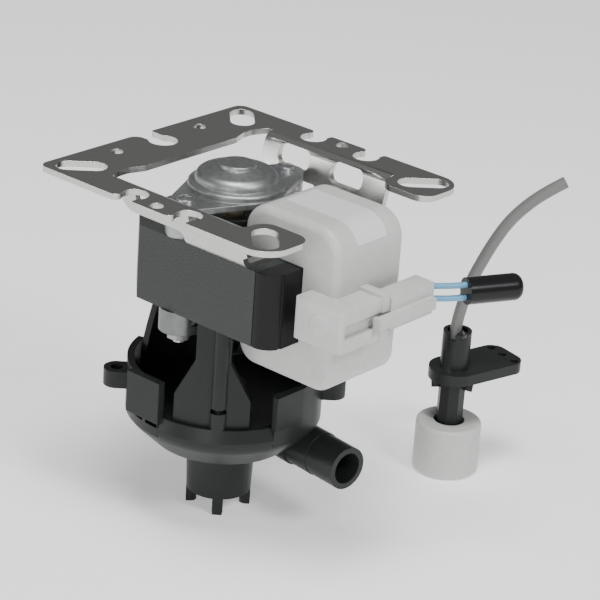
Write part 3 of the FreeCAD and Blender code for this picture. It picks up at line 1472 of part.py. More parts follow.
# Float switch: a moulded stem with a side flange, a reed switch and a cable on top.
def switch_stem():
    x, y = d.switch_x, d.switch_y
    tab_low = d.tab_top - d.tab_thick
    tab = body("tab_form", x, y, d.switch_turn)
    reach, half, corner = d.tab_reach, d.tab_radius, d.tab_corner
    right = [(0, -half), (reach - corner, -half), (reach, -(half - corner))]
    pad(tab, "XY", tab_low, d.tab_thick, right + [(u, -v) for u, v in reversed(right)])
    pocket(tab, "XY", rings=[(d.tab_hole_reach, d.tab_hole_pitch * n, d.tab_hole / 2) for n in (-1, 0, 1)])
    parts = [tab, cylinder(d.tab_radius, x, y, tab_low, d.tab_top)]
    parts.append(cylinder(d.stem_radius, x, y, d.stem_low, d.tab_top))
    parts.append(cylinder(d.barrel_radius, x, y, d.tab_top, d.barrel_top))
    barb = body("barb_form", x, y, d.barb_turn)
    tip = d.stem_radius + d.barb_tip
    tip_low = tab_low - d.barb_height
    outline = [(-d.barb_reach, tab_low), (-tip, tip_low), (tip, tip_low), (d.barb_reach, tab_low)]
    pad(barb, "XZ", 0, d.barb_width, outline, both=True)
    bores = [
        cylinder(d.stem_bore, x, y, d.stem_bore_low, d.potting_low),
        cylinder(d.barrel_bore, x, y, d.potting_low, d.barrel_top + 1),
    ]
    groove_low = stop_low
    groove = cut(
        cylinder(d.stem_radius + 1, x, y, groove_low, groove_low + d.stop_height),
        cylinder(d.stem_radius - d.stop_groove, x, y, groove_low, groove_low + d.stop_height),
    )
    notch = doc.addObject("Part::Box", fresh("rim_notch"))
    bind(notch, Length=d.barrel_radius * 2, Width=d.barrel_notch, Height=d.barrel_notch * 2)
    side = polar(d.barrel_notch / -2, d.notch_turn + 90, x, y)
    place(notch, side[0], side[1], d.barrel_top - d.barrel_notch, d.notch_turn)
    return cut(fuse(*parts, barb), *bores, groove, notch)


stop_high = d.float_bottom + d.float_seat - d.float_gap
stop_low = stop_high - d.stop_height
keep(switch_stem(), "switch_body")
sleeve("stop_ring", stop_low, stop_high, d.stem_radius - d.stop_groove, d.stop_radius, d.switch_x, d.switch_y)
reed_low = d.stem_bore_low + 0.5
keep(cylinder(d.reed_radius, d.switch_x, d.switch_y, reed_low, reed_low + d.reed_length, "reed"), "reed_switch")

CABLE = [
    (28.9, 79.5, -77.5),
    (28.7, 79.4, -68.5),
    (29.9, 80.4, -58.8),
    (31.5, 81.7, -50.2),
    (33.6, 83.5, -43.2),
    (36.5, 85.8, -34.7),
    (40.3, 89.0, -25.8),
    (45.0, 93.0, -19.0),
    (49.9, 97.1, -13.8),
    (53.8, 100.4, -10.5),
]
cable = feature(round_sweep(CABLE, d.cable_radius), "cable")
resin = cylinder(d.barrel_bore, d.switch_x, d.switch_y, d.potting_low, d.potting_top)
keep(cut(resin, cable), "cable_potting")
keep(cable, "switch_cable")

shell_form = body("float_form", d.switch_x, d.switch_y)
seat = d.stop_radius + d.float_gap + 0.2
turning, section = revolve(shell_form, [
    (d.float_bore, d.float_top),
    (d.float_bore, d.float_bottom + d.float_seat),
    (seat, d.float_bottom + d.float_seat),
    (seat, d.float_bottom),
    (d.float_radius, d.float_bottom),
    (d.float_radius, d.float_top),
])
float_outside = float(d.float_radius)
rounded_float = soften(
    shell_form, d.float_round,
    lambda edge: edge.Closed and abs(edge.Curve.Radius - float_outside) < 1e-3,
)
magnet_low = d.float_bottom + d.float_seat + 1.5
hollow = sleeve(
    None, magnet_low, d.float_top - 1.5, d.magnet_bore, d.float_radius - 1.5, d.switch_x, d.switch_y
)
keep(cut(rounded_float, hollow), "float_shell")
sleeve(
    "float_magnet", magnet_low, magnet_low + d.magnet_height,
    d.magnet_bore, d.magnet_radius, d.switch_x, d.switch_y,
)

doc.recompute()
faults = [item.Name for item in doc.Objects if "Invalid" in item.State or "Error" in item.State]
for item in nodes:
    shape = item.Shape
    if shape.isNull() or not shape.isValid():
        faults.append(item.Label)
    print("%-22s %5d solids %10.1f mm3" % (item.Label, len(shape.Solids), shape.Volume))
if faults:
    raise RuntimeError("faulty objects: %s" % ", ".join(faults))
for item in nodes:
    item.Shape.exportStep("parts/%s.step" % item.Label)
print("%d sub-parts written" % len(nodes))
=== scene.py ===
import math

import bmesh
import bpy
from mathutils import Matrix, Vector


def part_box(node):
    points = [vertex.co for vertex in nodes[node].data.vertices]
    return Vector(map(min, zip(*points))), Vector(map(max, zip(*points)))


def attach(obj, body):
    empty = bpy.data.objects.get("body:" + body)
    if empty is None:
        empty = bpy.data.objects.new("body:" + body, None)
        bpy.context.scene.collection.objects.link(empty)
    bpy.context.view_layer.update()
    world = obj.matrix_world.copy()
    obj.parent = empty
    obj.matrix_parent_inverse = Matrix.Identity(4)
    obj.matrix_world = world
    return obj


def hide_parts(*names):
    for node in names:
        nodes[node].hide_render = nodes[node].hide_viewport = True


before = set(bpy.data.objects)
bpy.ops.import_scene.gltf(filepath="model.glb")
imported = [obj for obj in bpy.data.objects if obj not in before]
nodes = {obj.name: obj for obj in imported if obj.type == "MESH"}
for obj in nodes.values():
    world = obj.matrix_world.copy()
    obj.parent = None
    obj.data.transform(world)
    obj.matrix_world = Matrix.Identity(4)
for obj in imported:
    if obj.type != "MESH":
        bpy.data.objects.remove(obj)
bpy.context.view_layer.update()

# Camera: a long lens from the front right corner, a little above the pump, as in the photograph.
# The picture is slightly rolled, so that its right side stands higher.
film_width, lens_length = 36, 148.16
camera_place = (0.4955, -0.5634, 0.2800)
view = Vector((-0.58978, 0.70408, -0.39551)).normalized()
roll = math.radians(4.12)
camera_data = bpy.data.cameras.new("camera")
camera_data.sensor_width = film_width
camera_data.lens = lens_length
camera = bpy.data.objects.new("camera", camera_data)
bpy.context.collection.objects.link(camera)
level = view.cross(Vector((0, 0, 1))).normalized()
right = level * math.cos(roll) + level.cross(view) * math.sin(roll)
up = right.cross(view)
axes = Matrix((right, up, -view)).transposed().to_4x4()
camera.matrix_world = Matrix.Translation(camera_place) @ axes
bpy.context.scene.camera = camera

# Stage: a plain white floor just under the feet of the pump, in a dim studio with four square
# soft lamps. The floor glows a little, so that it stays pale to the horizon.
floor_level = -0.1221
floor_half = 4
floor_glow = 0.42
room_glow = 0.16


def stage_floor():
    plane = bmesh.new()
    bmesh.ops.create_grid(plane, x_segments=1, y_segments=1, size=floor_half)
    bmesh.ops.translate(plane, verts=plane.verts, vec=(0, 0, floor_level))
    mesh = bpy.data.meshes.new("stage_floor")
    plane.to_mesh(mesh)
    plane.free()
    floor = bpy.data.objects.new("stage_floor", mesh)
    bpy.context.collection.objects.link(floor)
    paint = bpy.data.materials.new("pale_floor")
    paint.use_nodes = True
    shader = paint.node_tree.nodes["Principled BSDF"]
    shader.inputs["Base Color"].default_value = (0.9, 0.9, 0.9, 1)
    shader.inputs["Roughness"].default_value = 0.9
    shader.inputs["Emission Color"].default_value = (1, 1, 1, 1)
    shader.inputs["Emission Strength"].default_value = floor_glow
    mesh.materials.append(paint)


stage_floor()


def studio_lamp(name, place, aim, size, power):
    lamp_data = bpy.data.lights.new(name, "AREA")
    lamp_data.size = size
    lamp_data.energy = power
    lamp = bpy.data.objects.new(name, lamp_data)
    bpy.context.collection.objects.link(lamp)
    lamp.location = place
    lamp.rotation_euler = (Vector(aim) - Vector(place)).to_track_quat("-Z", "Y").to_euler()


studio_lamp("lamp_left", place=(-0.75, -1.1, 0.12), aim=(0, 0, -0.05), size=0.5, power=4.5)
studio_lamp("lamp_front", place=(0.5, -1.1, 0.2), aim=(0, 0, -0.07), size=0.45, power=4)
studio_lamp("lamp_right", place=(1.3, -0.1, 1.1), aim=(0, 0, -0.05), size=0.4, power=16)
studio_lamp("lamp_top", place=(0.2, -0.25, 1.4), aim=(0, 0, -0.05), size=0.5, power=21)
world = bpy.data.worlds.new("studio")
world.use_nodes = True
world.node_tree.nodes["Background"].inputs["Color"].default_value = (1, 1, 1, 1)
world.node_tree.nodes["Background"].inputs["Strength"].default_value = room_glow
bpy.context.scene.world = world

# Mounting bracket: a stamped and bent sheet of zinc plated steel. The plating is pale grey with
# a fine rolled grain, and the edge notches have rounded mouths, wider on the side that faces the
# closed strip.
plate_thickness = 0.002
near_edge = 0.0001
hair = 1e-6
arm_notches = (-0.0113, 0.0120)
wide_round, small_round = 0.0022, 0.0009
strip_round = 0.0034
notch_bend = math.radians(60)
flat_angle = math.radians(1)
shading_angle = math.radians(32)
corner_steps = 6
bump_depth = 0.0001
plate_low, plate_high = (Vector(corner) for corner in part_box("mounting_bracket"))


def surface(name, colour, roughness, metallic=0.0, edge=0.0002, gloss=0.5):
    """A principled material whose edges look softly rounded."""
    paint = bpy.data.materials.new(name)
    paint.use_nodes = True
    tree = paint.node_tree
    shader = tree.nodes["Principled BSDF"]
    shader.inputs["Base Color"].default_value = (*colour, 1)
    shader.inputs["Roughness"].default_value = roughness
    shader.inputs["Metallic"].default_value = metallic
    shader.inputs["Specular IOR Level"].default_value = gloss
    rounding = tree.nodes.new("ShaderNodeBevel")
    rounding.samples = 4
    rounding.inputs["Radius"].default_value = edge
    tree.links.new(rounding.outputs["Normal"], shader.inputs["Normal"])
    return paint


def emboss(paint, height, strength):
    """Adds a bump to a material, on top of those that it already has."""
    tree = paint.node_tree
    normal = tree.nodes["Principled BSDF"].inputs["Normal"]
    bump = tree.nodes.new("ShaderNodeBump")
    bump.inputs["Strength"].default_value = strength
    bump.inputs["Distance"].default_value = bump_depth
    tree.links.new(height, bump.inputs["Height"])
    tree.links.new(normal.links[0].from_socket, bump.inputs["Normal"])
    tree.links.new(bump.outputs["Normal"], normal)


def grain(paint, scale, strength, stretch=(1, 1, 1)):
    """Embosses a material with noise in the object's own frame; returns the noise."""
    tree = paint.node_tree
    place = tree.nodes.new("ShaderNodeTexCoord")
    turn = tree.nodes.new("ShaderNodeMapping")
    turn.inputs["Scale"].default_value = stretch
    noise = tree.nodes.new("ShaderNodeTexNoise")
    noise.inputs["Scale"].default_value = scale
    noise.inputs["Detail"].default_value = 3
    tree.links.new(place.outputs["Object"], turn.inputs["Vector"])
    tree.links.new(turn.outputs["Vector"], noise.inputs["Vector"])
    emboss(paint, noise.outputs["Fac"], strength)
    return noise


def tone(paint, noise, low, high):
    """Lets a noise vary the colour of a material between two values."""
    tree = paint.node_tree
    ramp = tree.nodes.new("ShaderNodeValToRGB")
    ramp.color_ramp.elements[0].position = 0.3
    ramp.color_ramp.elements[1].position = 0.7
    ramp.color_ramp.elements[0].color = (*low, 1)
    ramp.color_ramp.elements[1].color = (*high, 1)
    tree.links.new(noise.outputs["Fac"], ramp.inputs["Fac"])
    tree.links.new(ramp.outputs["Color"], tree.nodes["Principled BSDF"].inputs["Base Color"])


def dress(paint, *names):
    """Gives CAD nodes their material."""
    for name in names:
        mesh = nodes[name].data
        mesh.materials.clear()
        mesh.materials.append(paint)


def finish_piece(name, shape, paint, body):
    """Turns a bmesh into a smooth shaded piece that rides on a body."""
    mesh = bpy.data.meshes.new(name)
    shape.to_mesh(mesh)
    shape.free()
    mesh.materials.append(paint)
    mesh.shade_smooth()
    mesh.set_sharp_from_angle(angle=shading_angle)
    piece = bpy.data.objects.new(name, mesh)
    bpy.context.collection.objects.link(piece)
    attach(piece, body)
    return piece


def merged_copy(node):
    """The solid of a node as one clean mesh, to be worked on."""
    shape = bmesh.new()
    shape.from_mesh(nodes[node].data)
    bmesh.ops.remove_doubles(shape, verts=shape.verts, dist=hair)
    bmesh.ops.dissolve_limit(shape, angle_limit=flat_angle, verts=shape.verts, edges=shape.edges)
    return shape


def upright_edges(shape, bend):
    """The edges that stand straight up where two walls meet at more than an angle."""
    found = []
    for edge in shape.edges:
        one, other = (vert.co for vert in edge.verts)
        if (one - other).xy.length < hair and edge.is_manifold and edge.calc_face_angle() > bend:
            found.append(edge)
    return found


def round_off(shape, edges, width, steps):
    """Rounds edges of a shape in a few steps."""
    bmesh.ops.bevel(
        shape, geom=edges, offset=width, affect="EDGES", segments=steps, profile=0.5, material=-1,
        clamp_overlap=True,
    )


def notch_rounding(spot):
    """The radius for an upright edge at the plate's rim, or nought elsewhere."""
    if abs(spot.x - plate_low.x) < near_edge:
        return strip_round if spot.y < 0 else small_round
    if min(abs(spot.y - plate_low.y), abs(spot.y - plate_high.y)) < near_edge:
        centre = min(arm_notches, key=lambda place: abs(place - spot.x))
        return wide_round if spot.x < centre else small_round
    return 0


def bracket_sheet():
    sheet = merged_copy("mounting_bracket")
    for radius in (strip_round, wide_round, small_round):
        mouths = [
            edge for edge in upright_edges(sheet, notch_bend)
            if edge.calc_length() < plate_thickness + near_edge
            and notch_rounding(edge.verts[0].co) == radius
        ]
        round_off(sheet, mouths, radius, corner_steps)
    return sheet


zinc = surface("zinc_plate", (0.53, 0.53, 0.515), roughness=0.3, metallic=1.0, edge=0.0003)
rolled = grain(zinc, scale=900, strength=0.05, stretch=(1, 5, 1))
tone(zinc, rolled, (0.49, 0.49, 0.475), (0.57, 0.57, 0.555))
stamped = finish_piece("bracket_sheet", bracket_sheet(), zinc, "frame")
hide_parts("mounting_bracket")

# Lamination stack, core bar and rotor core: stamped steel sheets, pressed together. The first two
# are dipped in varnish, and the edges of the stack's sheets show as fine level lines. The rotor's
# core is left bare.
sheet_pitch_mm = 0.65


def sheet_lines(paint):
    """Embosses a material with the level lines of stacked sheets."""
    tree = paint.node_tree
    place = tree.nodes.new("ShaderNodeTexCoord")
    sheets = tree.nodes.new("ShaderNodeTexWave")
    sheets.bands_direction = "Z"
    sheets.inputs["Scale"].default_value = 1000 / sheet_pitch_mm / (2 * math.pi) * 2
    tree.links.new(place.outputs["Object"], sheets.inputs["Vector"])
    emboss(paint, sheets.outputs["Fac"], 0.25)


varnish = surface("dark_varnish", (0.029, 0.034, 0.031), roughness=0.45, metallic=0.2, gloss=0.35)
speckle = grain(varnish, scale=2500, strength=0.12)
tone(varnish, speckle, (0.020, 0.025, 0.022), (0.038, 0.043, 0.040))
sheet_lines(varnish)
dress(varnish, "stator_stack")
black_varnish = surface("black_varnish", (0.010, 0.010, 0.011), roughness=0.3, gloss=0.15)
grain(black_varnish, scale=1500, strength=0.1, stretch=(1, 1, 0.3))
dress(black_varnish, "coil_core_bar")
core_steel = surface("rotor_steel", (0.35, 0.35, 0.36), roughness=0.4, metallic=0.9)
grain(core_steel, scale=500, strength=0.1, stretch=(1, 1, 12))
dress(core_steel, "rotor_core")

# Shading rings and winding: two bare copper loops pressed into the poles, and a coil of enamelled
# copper wire, wound in even turns on its former.
copper = surface("bare_copper", (0.72, 0.38, 0.22), roughness=0.35, metallic=1.0)
grain(copper, scale=600, strength=0.1)
dress(copper, "shading_rings")
enamel = surface("enamelled_wire", (0.45, 0.16, 0.06), roughness=0.3, metallic=0.6)
grain(enamel, scale=900, strength=0.3, stretch=(1, 8, 1))
dress(enamel, "coil_winding")

# Coil casing, bobbin and float shell: white moulded plastic with a faint moulded texture. The
# casing closes round the winding, and the float is one round hollow shell.
white = surface("white_moulding", (0.5, 0.5, 0.49), roughness=0.42, edge=0.0004)
cloud = grain(white, scale=350, strength=0.06)
tone(white, cloud, (0.48, 0.48, 0.47), (0.52, 0.52, 0.51))
dress(white, "coil_casing", "coil_bobbin", "float_shell")

# Terminal housing and plug: both moulded in the casing's white plastic, with softly rounded edges.
# The housing is fixed to the casing, with long grooves that throw a shadow, and the plug is pushed
# into it.
groove_floor = 0.0605
groove_deeper = 0.0011
mould_edge = 0.00035
edge_steps = 3
crease = math.radians(40)


def round_edges(shape, width):
    """Rounds every sharp edge of a moulding."""
    sharp = [edge for edge in shape.edges if edge.is_manifold and edge.calc_face_angle() > crease]
    round_off(shape, sharp, width, edge_steps)


terminal = merged_copy("terminal_housing")
floor_corners = [vert for vert in terminal.verts if abs(vert.co.x - groove_floor) < near_edge / 10]
bmesh.ops.translate(terminal, verts=floor_corners, vec=(-groove_deeper, 0, 0))
round_edges(terminal, mould_edge)
block = finish_piece("terminal_block", terminal, white, "frame")
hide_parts("terminal_housing")
plug = merged_copy("plug_housing")
round_edges(plug, mould_edge)
block = finish_piece("plug_block", plug, white, "plug")
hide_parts("plug_housing")

# Casing label: a thin white film, stuck over the casing's top and round its right corner. It is
# left blank, with a fine cut edge.
label_near, label_far = -0.0068, 0.0076
label_start = 0.0203
label_end_height = -0.0072
label_thick = 0.00012
label_corner, label_steps = 0.0009, 4
casing_corner, bend_steps = 0.0095, 14
casing_high = Vector(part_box("coil_casing")[1])


def casing_label():
    """A strip along the casing's top and round its corner, widened across and given its wall."""
    bend = Vector((casing_high.x - casing_corner, 0, casing_high.z - casing_corner))
    last = math.asin((label_end_height - bend.z) / casing_corner)
    line = [Vector((start, 0, casing_high.z)) for start in (label_start, label_start + label_corner)]
    for step in range(bend_steps + 1):
        angle = math.pi / 2 + (last - math.pi / 2) * step / bend_steps
        line.append(bend + casing_corner * Vector((math.cos(angle), 0, math.sin(angle))))
    film = bmesh.new()
    rail = [film.verts.new((point.x, label_near, point.z)) for point in line]
    edges = [film.edges.new(pair) for pair in zip(rail, rail[1:])]
    wide = bmesh.ops.extrude_edge_only(film, edges=edges)
    moved = [item for item in wide["geom"] if isinstance(item, bmesh.types.BMVert)]
    bmesh.ops.translate(film, verts=moved, vec=(0, label_far - label_near, 0))
    ends = [vert for vert in film.verts if len(vert.link_edges) == 2]
    bmesh.ops.bevel(
        film, geom=ends, offset=label_corner, affect="VERTICES", segments=label_steps, profile=0.5,
        material=-1,
    )
    bmesh.ops.recalc_face_normals(film, faces=film.faces)
    if sum(face.normal.z * face.calc_area() for face in film.faces) < 0:
        bmesh.ops.reverse_faces(film, faces=film.faces)
    bmesh.ops.solidify(film, geom=film.faces, thickness=-label_thick)
    return film


paper = surface("label_film", (0.66, 0.665, 0.66), roughness=0.3, edge=0.0001)
grain(paper, scale=500, strength=0.03)
finish_piece("casing_label", casing_label(), paper, "frame")

# Terminal pins and plug contacts: stamped and tinned brass. The pins stand in the housing, and the
# contacts sit in the plug and slide over them.
tinned = surface("tinned_brass", (0.75, 0.68, 0.5), roughness=0.3, metallic=1.0, edge=0.0001)
grain(tinned, scale=800, strength=0.1)
dress(tinned, "terminal_pins", "plug_contacts")

# Bearing brackets and rotor cage: pressure die castings with a slightly uneven skin. The upper
# bracket is the brighter one, and the lower bracket and the cage are dull.
bright_cast = surface("die_casting", (0.34, 0.35, 0.35), roughness=0.46, metallic=1.0, edge=0.0004)
skin = grain(bright_cast, scale=500, strength=0.1)
tone(bright_cast, skin, (0.29, 0.30, 0.30), (0.39, 0.40, 0.40))
dress(bright_cast, "upper_bearing_bracket")
dull_cast = surface("dull_casting", (0.17, 0.175, 0.175), roughness=0.4, metallic=1.0, edge=0.0004)
skin = grain(dull_cast, scale=500, strength=0.05)
tone(dull_cast, skin, (0.155, 0.16, 0.16), (0.185, 0.19, 0.19))
dress(dull_cast, "lower_bearing_bracket", "rotor_cage")

# Bearings: sintered bronze rings, brown and finely porous, each pressed into the cap of its
# bracket.
bronze = surface("sintered_bronze", (0.42, 0.28, 0.13), roughness=0.5, metallic=0.9)
grain(bronze, scale=2500, strength=0.3)
dress(bronze, "upper_bearing", "lower_bearing")

# Fasteners, retainers and shaft: turned, stamped or ground steel. Bolts, retainers and shaft are
# bright, and nuts and bracket screws are passivated to a dull grey. The pump screws get a near
# black steel, painted shade for the dark gap above their collars.
bright_steel = surface("bright_steel", (0.6, 0.6, 0.62), roughness=0.28, metallic=1.0, edge=0.00015)
grain(bright_steel, scale=700, strength=0.06)
dress(bright_steel, "bearing_retainers", "through_bolts", "shaft")
dull_steel = surface("dull_steel", (0.3, 0.3, 0.31), roughness=0.35, metallic=1.0, edge=0.00015)
grain(dull_steel, scale=700, strength=0.06)
dress(dull_steel, "through_nuts", "frame_screws")
# Near black steel on the pump screws: painted shade for the dark gap above their collars.
screw_painted_shade = surface("pump_screw_painted_shade", (0.05, 0.05, 0.055), roughness=0.45, metallic=0.8, edge=0.00015)
grain(screw_painted_shade, scale=900, strength=0.1)
dress(screw_painted_shade, "pump_screws")

# Heads of the through bolts: cold formed pan heads of bright steel with a cross recess, set over
# the plain heads of the solids and bearing on the bracket's ears.
head_radius = 0.003
head_height = 0.0023
head_crown, crown_power, crown_steps = 0.0006, 2.5, 4
round_steps = 32
recess_depth = 0.00045
recess_length = 0.0032
recess_width = 0.0007
recess_turn = 0.5
cutter_height = 0.0018
ear_level = -0.0062
bolt_inset = 0.0028
bolt_low, bolt_high = (Vector(corner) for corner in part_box("through_bolts"))
bolt_x = (bolt_low.x + bolt_high.x) / 2


def pan_head(x, y):
    """A domed head, spun from its half outline and closed underneath."""
    head = bmesh.new()
    profile = [(0.0, head_height)]
    for step in range(1, crown_steps + 1):
        share = step / crown_steps
        profile.append((head_radius * share, head_height - head_crown * share ** crown_power))
    profile.append((head_radius, 0.0))
    rail = [head.verts.new((reach, 0, level)) for reach, level in profile]
    edges = [head.edges.new(pair) for pair in zip(rail, rail[1:])]
    bmesh.ops.spin(
        head, geom=rail + edges, cent=(0, 0, 0), axis=(0, 0, 1), angle=2 * math.pi, steps=round_steps,
        use_merge=True,
    )
    bmesh.ops.remove_doubles(head, verts=head.verts, dist=hair)
    bmesh.ops.holes_fill(head, edges=[edge for edge in head.edges if edge.is_boundary])
    bmesh.ops.recalc_face_normals(head, faces=head.faces)
    bmesh.ops.translate(head, verts=head.verts, vec=(x, y, ear_level))
    return head


def cross_cutter(x, y):
    """Two crossed bars that reach into the head as deep as the recess."""
    tool = bmesh.new()
    bar = Matrix.Diagonal((recess_length, recess_width, cutter_height, 1))
    recess_floor = ear_level + head_height - recess_depth
    middle = Matrix.Translation((x, y, recess_floor + cutter_height / 2))
    for turn in (recess_turn, recess_turn + math.pi / 2):
        bmesh.ops.create_cube(tool, size=1, matrix=middle @ Matrix.Rotation(turn, 4, "Z") @ bar)
    mesh = bpy.data.meshes.new("cross_cutter")
    tool.to_mesh(mesh)
    tool.free()
    cutter = bpy.data.objects.new("cross_cutter", mesh)
    bpy.context.collection.objects.link(cutter)
    return cutter


def cut_piece(piece, cutter):
    """Cuts one mesh from another for good, then removes the cutter."""
    knife = piece.modifiers.new("cut", "BOOLEAN")
    knife.operation = "DIFFERENCE"
    knife.solver = "EXACT"
    knife.use_self = True
    knife.object = cutter
    done = bpy.data.meshes.new_from_object(piece.evaluated_get(bpy.context.evaluated_depsgraph_get()))
    piece.modifiers.clear()
    piece.data = done
    bpy.data.objects.remove(cutter)


for name, y in (("bolt_head_front", bolt_low.y + bolt_inset), ("bolt_head_back", bolt_high.y - bolt_inset)):
    head = finish_piece(name, pan_head(bolt_x, y), bright_steel, "frame")
    cut_piece(head, cross_cutter(bolt_x, y))

# Motor mount, pump housing, slinger, impeller and stop ring: black moulded plastic with a fine
# texture. The housing is clipped and screwed under the mount, and the slinger and the impeller are
# pressed on the shaft.
black = surface("black_moulding", (0.017, 0.019, 0.019), roughness=0.36, edge=0.0003, gloss=0.2)
texture = grain(black, scale=2200, strength=0.1)
tone(black, texture, (0.014, 0.016, 0.016), (0.020, 0.022, 0.022))
dress(black, "motor_mount", "pump_housing", "slinger", "impeller", "stop_ring")

# Feet and screw collars of the pump housing: the feet under the cup are round pegs, and each
# pump screw goes into a collar with a sunk top. Both are moulded with the housing.
cup_radius = 0.0111
foot_radius = 0.0019
foot_low, foot_high = -0.1220, -0.1158
foot_turn = math.radians(-48)
foot_count = 4
foot_edge = 0.0005
foot_sink = 0.00005
collar_radius = 0.0029
collar_sink = 0.0007
collar_rim = 0.0006
collar_low, collar_high = -0.0850, -0.0737
upward = 0.9
pump_screw_inset = 0.00175
shaft_low, shaft_high = (Vector(corner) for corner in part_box("shaft"))
axis_x = (shaft_low.x + shaft_high.x) / 2


def round_peg(shape, x, y, radius, low, high):
    """Adds an upright cylinder to a shape; returns its new corners."""
    place = Matrix.Translation((x, y, (low + high) / 2))
    made = bmesh.ops.create_cone(
        shape, cap_ends=True, segments=round_steps, radius1=radius, radius2=radius, depth=high - low,
        matrix=place,
    )
    return made["verts"]


def cup_feet():
    """Pegs round the cup, each with a rounded rim underneath."""
    feet = bmesh.new()
    reach = cup_radius - foot_radius
    for number in range(foot_count):
        angle = foot_turn + number * 2 * math.pi / foot_count
        x, y = axis_x + reach * math.cos(angle), reach * math.sin(angle)
        corners = round_peg(feet, x, y, foot_radius, foot_low - foot_sink, foot_high)
        low_corners = {vert for vert in corners if vert.co.z < foot_low}
        rim = [edge for edge in feet.edges if set(edge.verts) <= low_corners]
        round_off(feet, rim, foot_edge, edge_steps)
    return feet


def screw_collars():
    """A collar round each pump screw, its top sunk inside a narrow rim."""
    low, high = (Vector(corner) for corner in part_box("pump_screws"))
    collars = bmesh.new()
    for y in (low.y + pump_screw_inset, high.y - pump_screw_inset):
        corners = round_peg(collars, (low.x + high.x) / 2, y, collar_radius, collar_low, collar_high)
        top = [face for face in collars.faces if face.normal.z > upward and face.verts[0] in corners]
        bmesh.ops.inset_region(collars, faces=top, thickness=collar_rim)
        bmesh.ops.translate(collars, verts=list(top[0].verts), vec=(0, 0, -collar_sink))
    return collars


finish_piece("cup_feet", cup_feet(), black, "frame")
finish_piece("screw_collars", screw_collars(), black, "frame")

# Seal: a flat ring of black rubber, punched from sheet and pressed between the mount and the
# housing.
rubber = surface("seal_rubber", (0.02, 0.02, 0.02), roughness=0.7)
grain(rubber, scale=900, strength=0.1)
dress(rubber, "housing_seal")

# Thrust washers: punched rings of cream nylon, loose on the shaft between the rotor and its
# bearings.
nylon = surface("cream_nylon", (0.75, 0.68, 0.5), roughness=0.5)
grain(nylon, scale=500, strength=0.05)
dress(nylon, "thrust_washers")

# Leads and end cap: two stranded leads in blue insulation come out of the plug, and their ends
# stand in a black cap that is dipped and glossy.
blue = surface("blue_insulation", (0.11, 0.3, 0.48), roughness=0.4)
grain(blue, scale=500, strength=0.05)
dress(blue, "plug_leads")
dipped = surface("dipped_cap", (0.010, 0.010, 0.011), roughness=0.22, edge=0.0003, gloss=0.22)
grain(dipped, scale=200, strength=0.15)
dress(dipped, "lead_end_cap")

# Reed switch, resin and magnet: a sealed glass tube stands in the stem, black resin is cast over
# it, and a pressed ferrite ring sits in the float.
glass = surface("reed_glass", (0.75, 0.85, 0.8), roughness=0.1)
glass.node_tree.nodes["Principled BSDF"].inputs["Transmission Weight"].default_value = 0.8
grain(glass, scale=300, strength=0.02)
dress(glass, "reed_switch")
resin = surface("cast_resin", (0.02, 0.02, 0.02), roughness=0.15)
grain(resin, scale=300, strength=0.05)
dress(resin, "cable_potting")
ferrite = surface("ferrite", (0.08, 0.08, 0.085), roughness=0.6)
grain(ferrite, scale=900, strength=0.15)
dress(ferrite, "float_magnet")

# Switch moulding: stem, flange and barrel in one black moulding, screwed down by the holes in its
# flange. The four corners at the flange's far end are well rounded, as they leave the mould.
switch_x, switch_y = 0.0295, 0.08
flange_corner = 0.0017
flange_far = 0.023
flange_bend = math.radians(30)


def switch_moulding():
    moulding = merged_copy("switch_body")
    stem = Vector((switch_x, switch_y))
    corners = [
        edge for edge in upright_edges(moulding, flange_bend)
        if edge.is_convex and (edge.verts[0].co.xy - stem).length > flange_far
    ]
    round_off(moulding, corners, flange_corner, corner_steps)
    return moulding


moulded = finish_piece("switch_moulding", switch_moulding(), black, "frame")
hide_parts("switch_body")

# Resin bead, barbs and facets of the switch: the filling swells over the rim where the cable
# comes out, two snap barbs stand under the flange, and the stem below has eight flat sides.
bead_spot = (0.0331, 0.0779, -0.0689)
bead_radii = (0.0017, 0.0017, 0.0017)
bead_swell, bead_lean = 0.18, 0.12
bead_wave_x, bead_wave_y, bead_shift = 3, 4, 1
flange_low = -0.0863
barb_turn = math.radians(31.5)
barb_near, barb_far, barb_tip = 0.004, 0.0077, 0.0072
barb_half = 0.0017
barb_height, root_share = 0.0044, 0.9
facet_count = 8
facet_reach = 0.00442
facet_turn = math.radians(-64.7)
facet_lift = 0.0001
stop_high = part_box("stop_ring")[1][2]


def resin_bead():
    """A ball with shallow swells, wider towards its top."""
    bead = bmesh.new()
    bmesh.ops.create_icosphere(bead, subdivisions=4, radius=1)
    for vert in bead.verts:
        wave = math.sin(bead_wave_x * vert.co.x + bead_shift) * math.cos(bead_wave_y * vert.co.y)
        vert.co *= 1 + bead_swell * wave + bead_lean * vert.co.z
    bmesh.ops.scale(bead, verts=bead.verts, vec=bead_radii)
    bmesh.ops.translate(bead, verts=bead.verts, vec=bead_spot)
    return bead


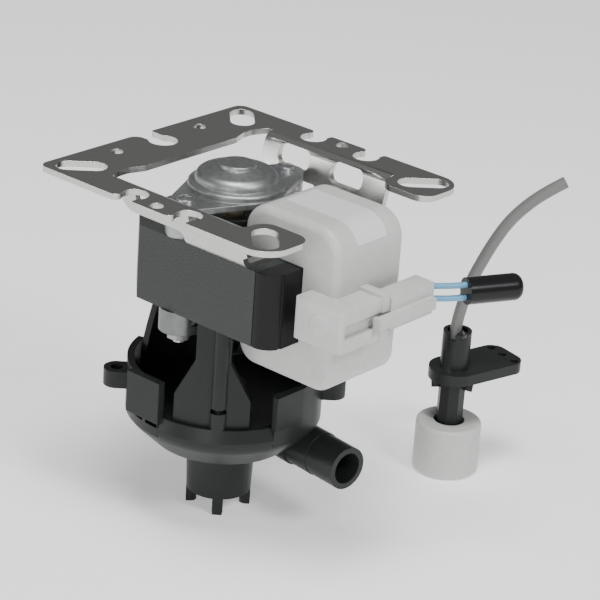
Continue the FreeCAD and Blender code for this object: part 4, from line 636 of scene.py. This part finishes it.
def snap_barbs():
    """Two tapered blocks on opposite sides of the stem."""
    barbs = bmesh.new()
    root_level = -barb_height * root_share
    for side in (-1, 1):
        corners = [(barb_near, 0), (barb_far, 0), (barb_tip, -barb_height), (barb_near, root_level)]
        loop = [barbs.verts.new((side * reach, -barb_half, level)) for reach, level in corners]
        face = barbs.faces.new(loop)
        grown = bmesh.ops.extrude_face_region(barbs, geom=[face])
        moved = [item for item in grown["geom"] if isinstance(item, bmesh.types.BMVert)]
        bmesh.ops.translate(barbs, verts=moved, vec=(0, barb_half * 2, 0))
    bmesh.ops.recalc_face_normals(barbs, faces=barbs.faces)
    place = Matrix.Translation((switch_x, switch_y, flange_low)) @ Matrix.Rotation(barb_turn, 4, "Z")
    bmesh.ops.transform(barbs, matrix=place, verts=barbs.verts)
    return barbs


def stem_facets():
    """A prism that wraps the round stem from the flange down to the stop ring."""
    top, low = flange_low + facet_lift, stop_high + facet_lift
    prism = bmesh.new()
    corner = facet_reach / math.cos(math.pi / facet_count)
    bmesh.ops.create_cone(
        prism, cap_ends=True, segments=facet_count, radius1=corner, radius2=corner, depth=top - low
    )
    place = Matrix.Translation((switch_x, switch_y, (top + low) / 2)) @ Matrix.Rotation(facet_turn, 4, "Z")
    bmesh.ops.transform(prism, matrix=place, verts=prism.verts)
    return prism


finish_piece("resin_bead", resin_bead(), resin, "frame")
finish_piece("stem_facets", stem_facets(), black, "frame")
finish_piece("snap_barbs", snap_barbs(), black, "frame")

# Switch cable: a stiff round lead in a grey extruded sheath, which is cast into the switch, rises
# out of its barrel and ends bare. It follows the same route as its solid, in millimetres.
CABLE_ROUTE = [
    (28.9, 79.5, -77.5),
    (28.7, 79.4, -68.5),
    (29.9, 80.4, -58.8),
    (31.5, 81.7, -50.2),
    (33.6, 83.5, -43.2),
    (36.5, 85.8, -34.7),
    (40.3, 89.0, -25.8),
    (45.0, 93.0, -19.0),
    (49.9, 97.1, -13.8),
    (53.8, 100.4, -10.5),
]
cable_radius = 0.0021


def switch_cable():
    line = bpy.data.curves.new("switch_cable_sheath", "CURVE")
    line.dimensions = "3D"
    spline = line.splines.new("NURBS")
    spline.points.add(len(CABLE_ROUTE) - 1)
    for point, spot in zip(spline.points, CABLE_ROUTE):
        point.co = (*(value / 1000 for value in spot), 1)
    spline.order_u = 3
    spline.use_endpoint_u = True
    spline.resolution_u = 12
    line.bevel_depth = cable_radius
    line.bevel_resolution = 8
    line.use_fill_caps = True
    cable = bpy.data.objects.new("switch_cable_sheath", line)
    bpy.context.collection.objects.link(cable)
    sheath = surface("grey_sheath", (0.15, 0.155, 0.148), roughness=0.5)
    grain(sheath, scale=400, strength=0.08)
    line.materials.append(sheath)
    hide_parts("switch_cable")
    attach(cable, "frame")


switch_cable()
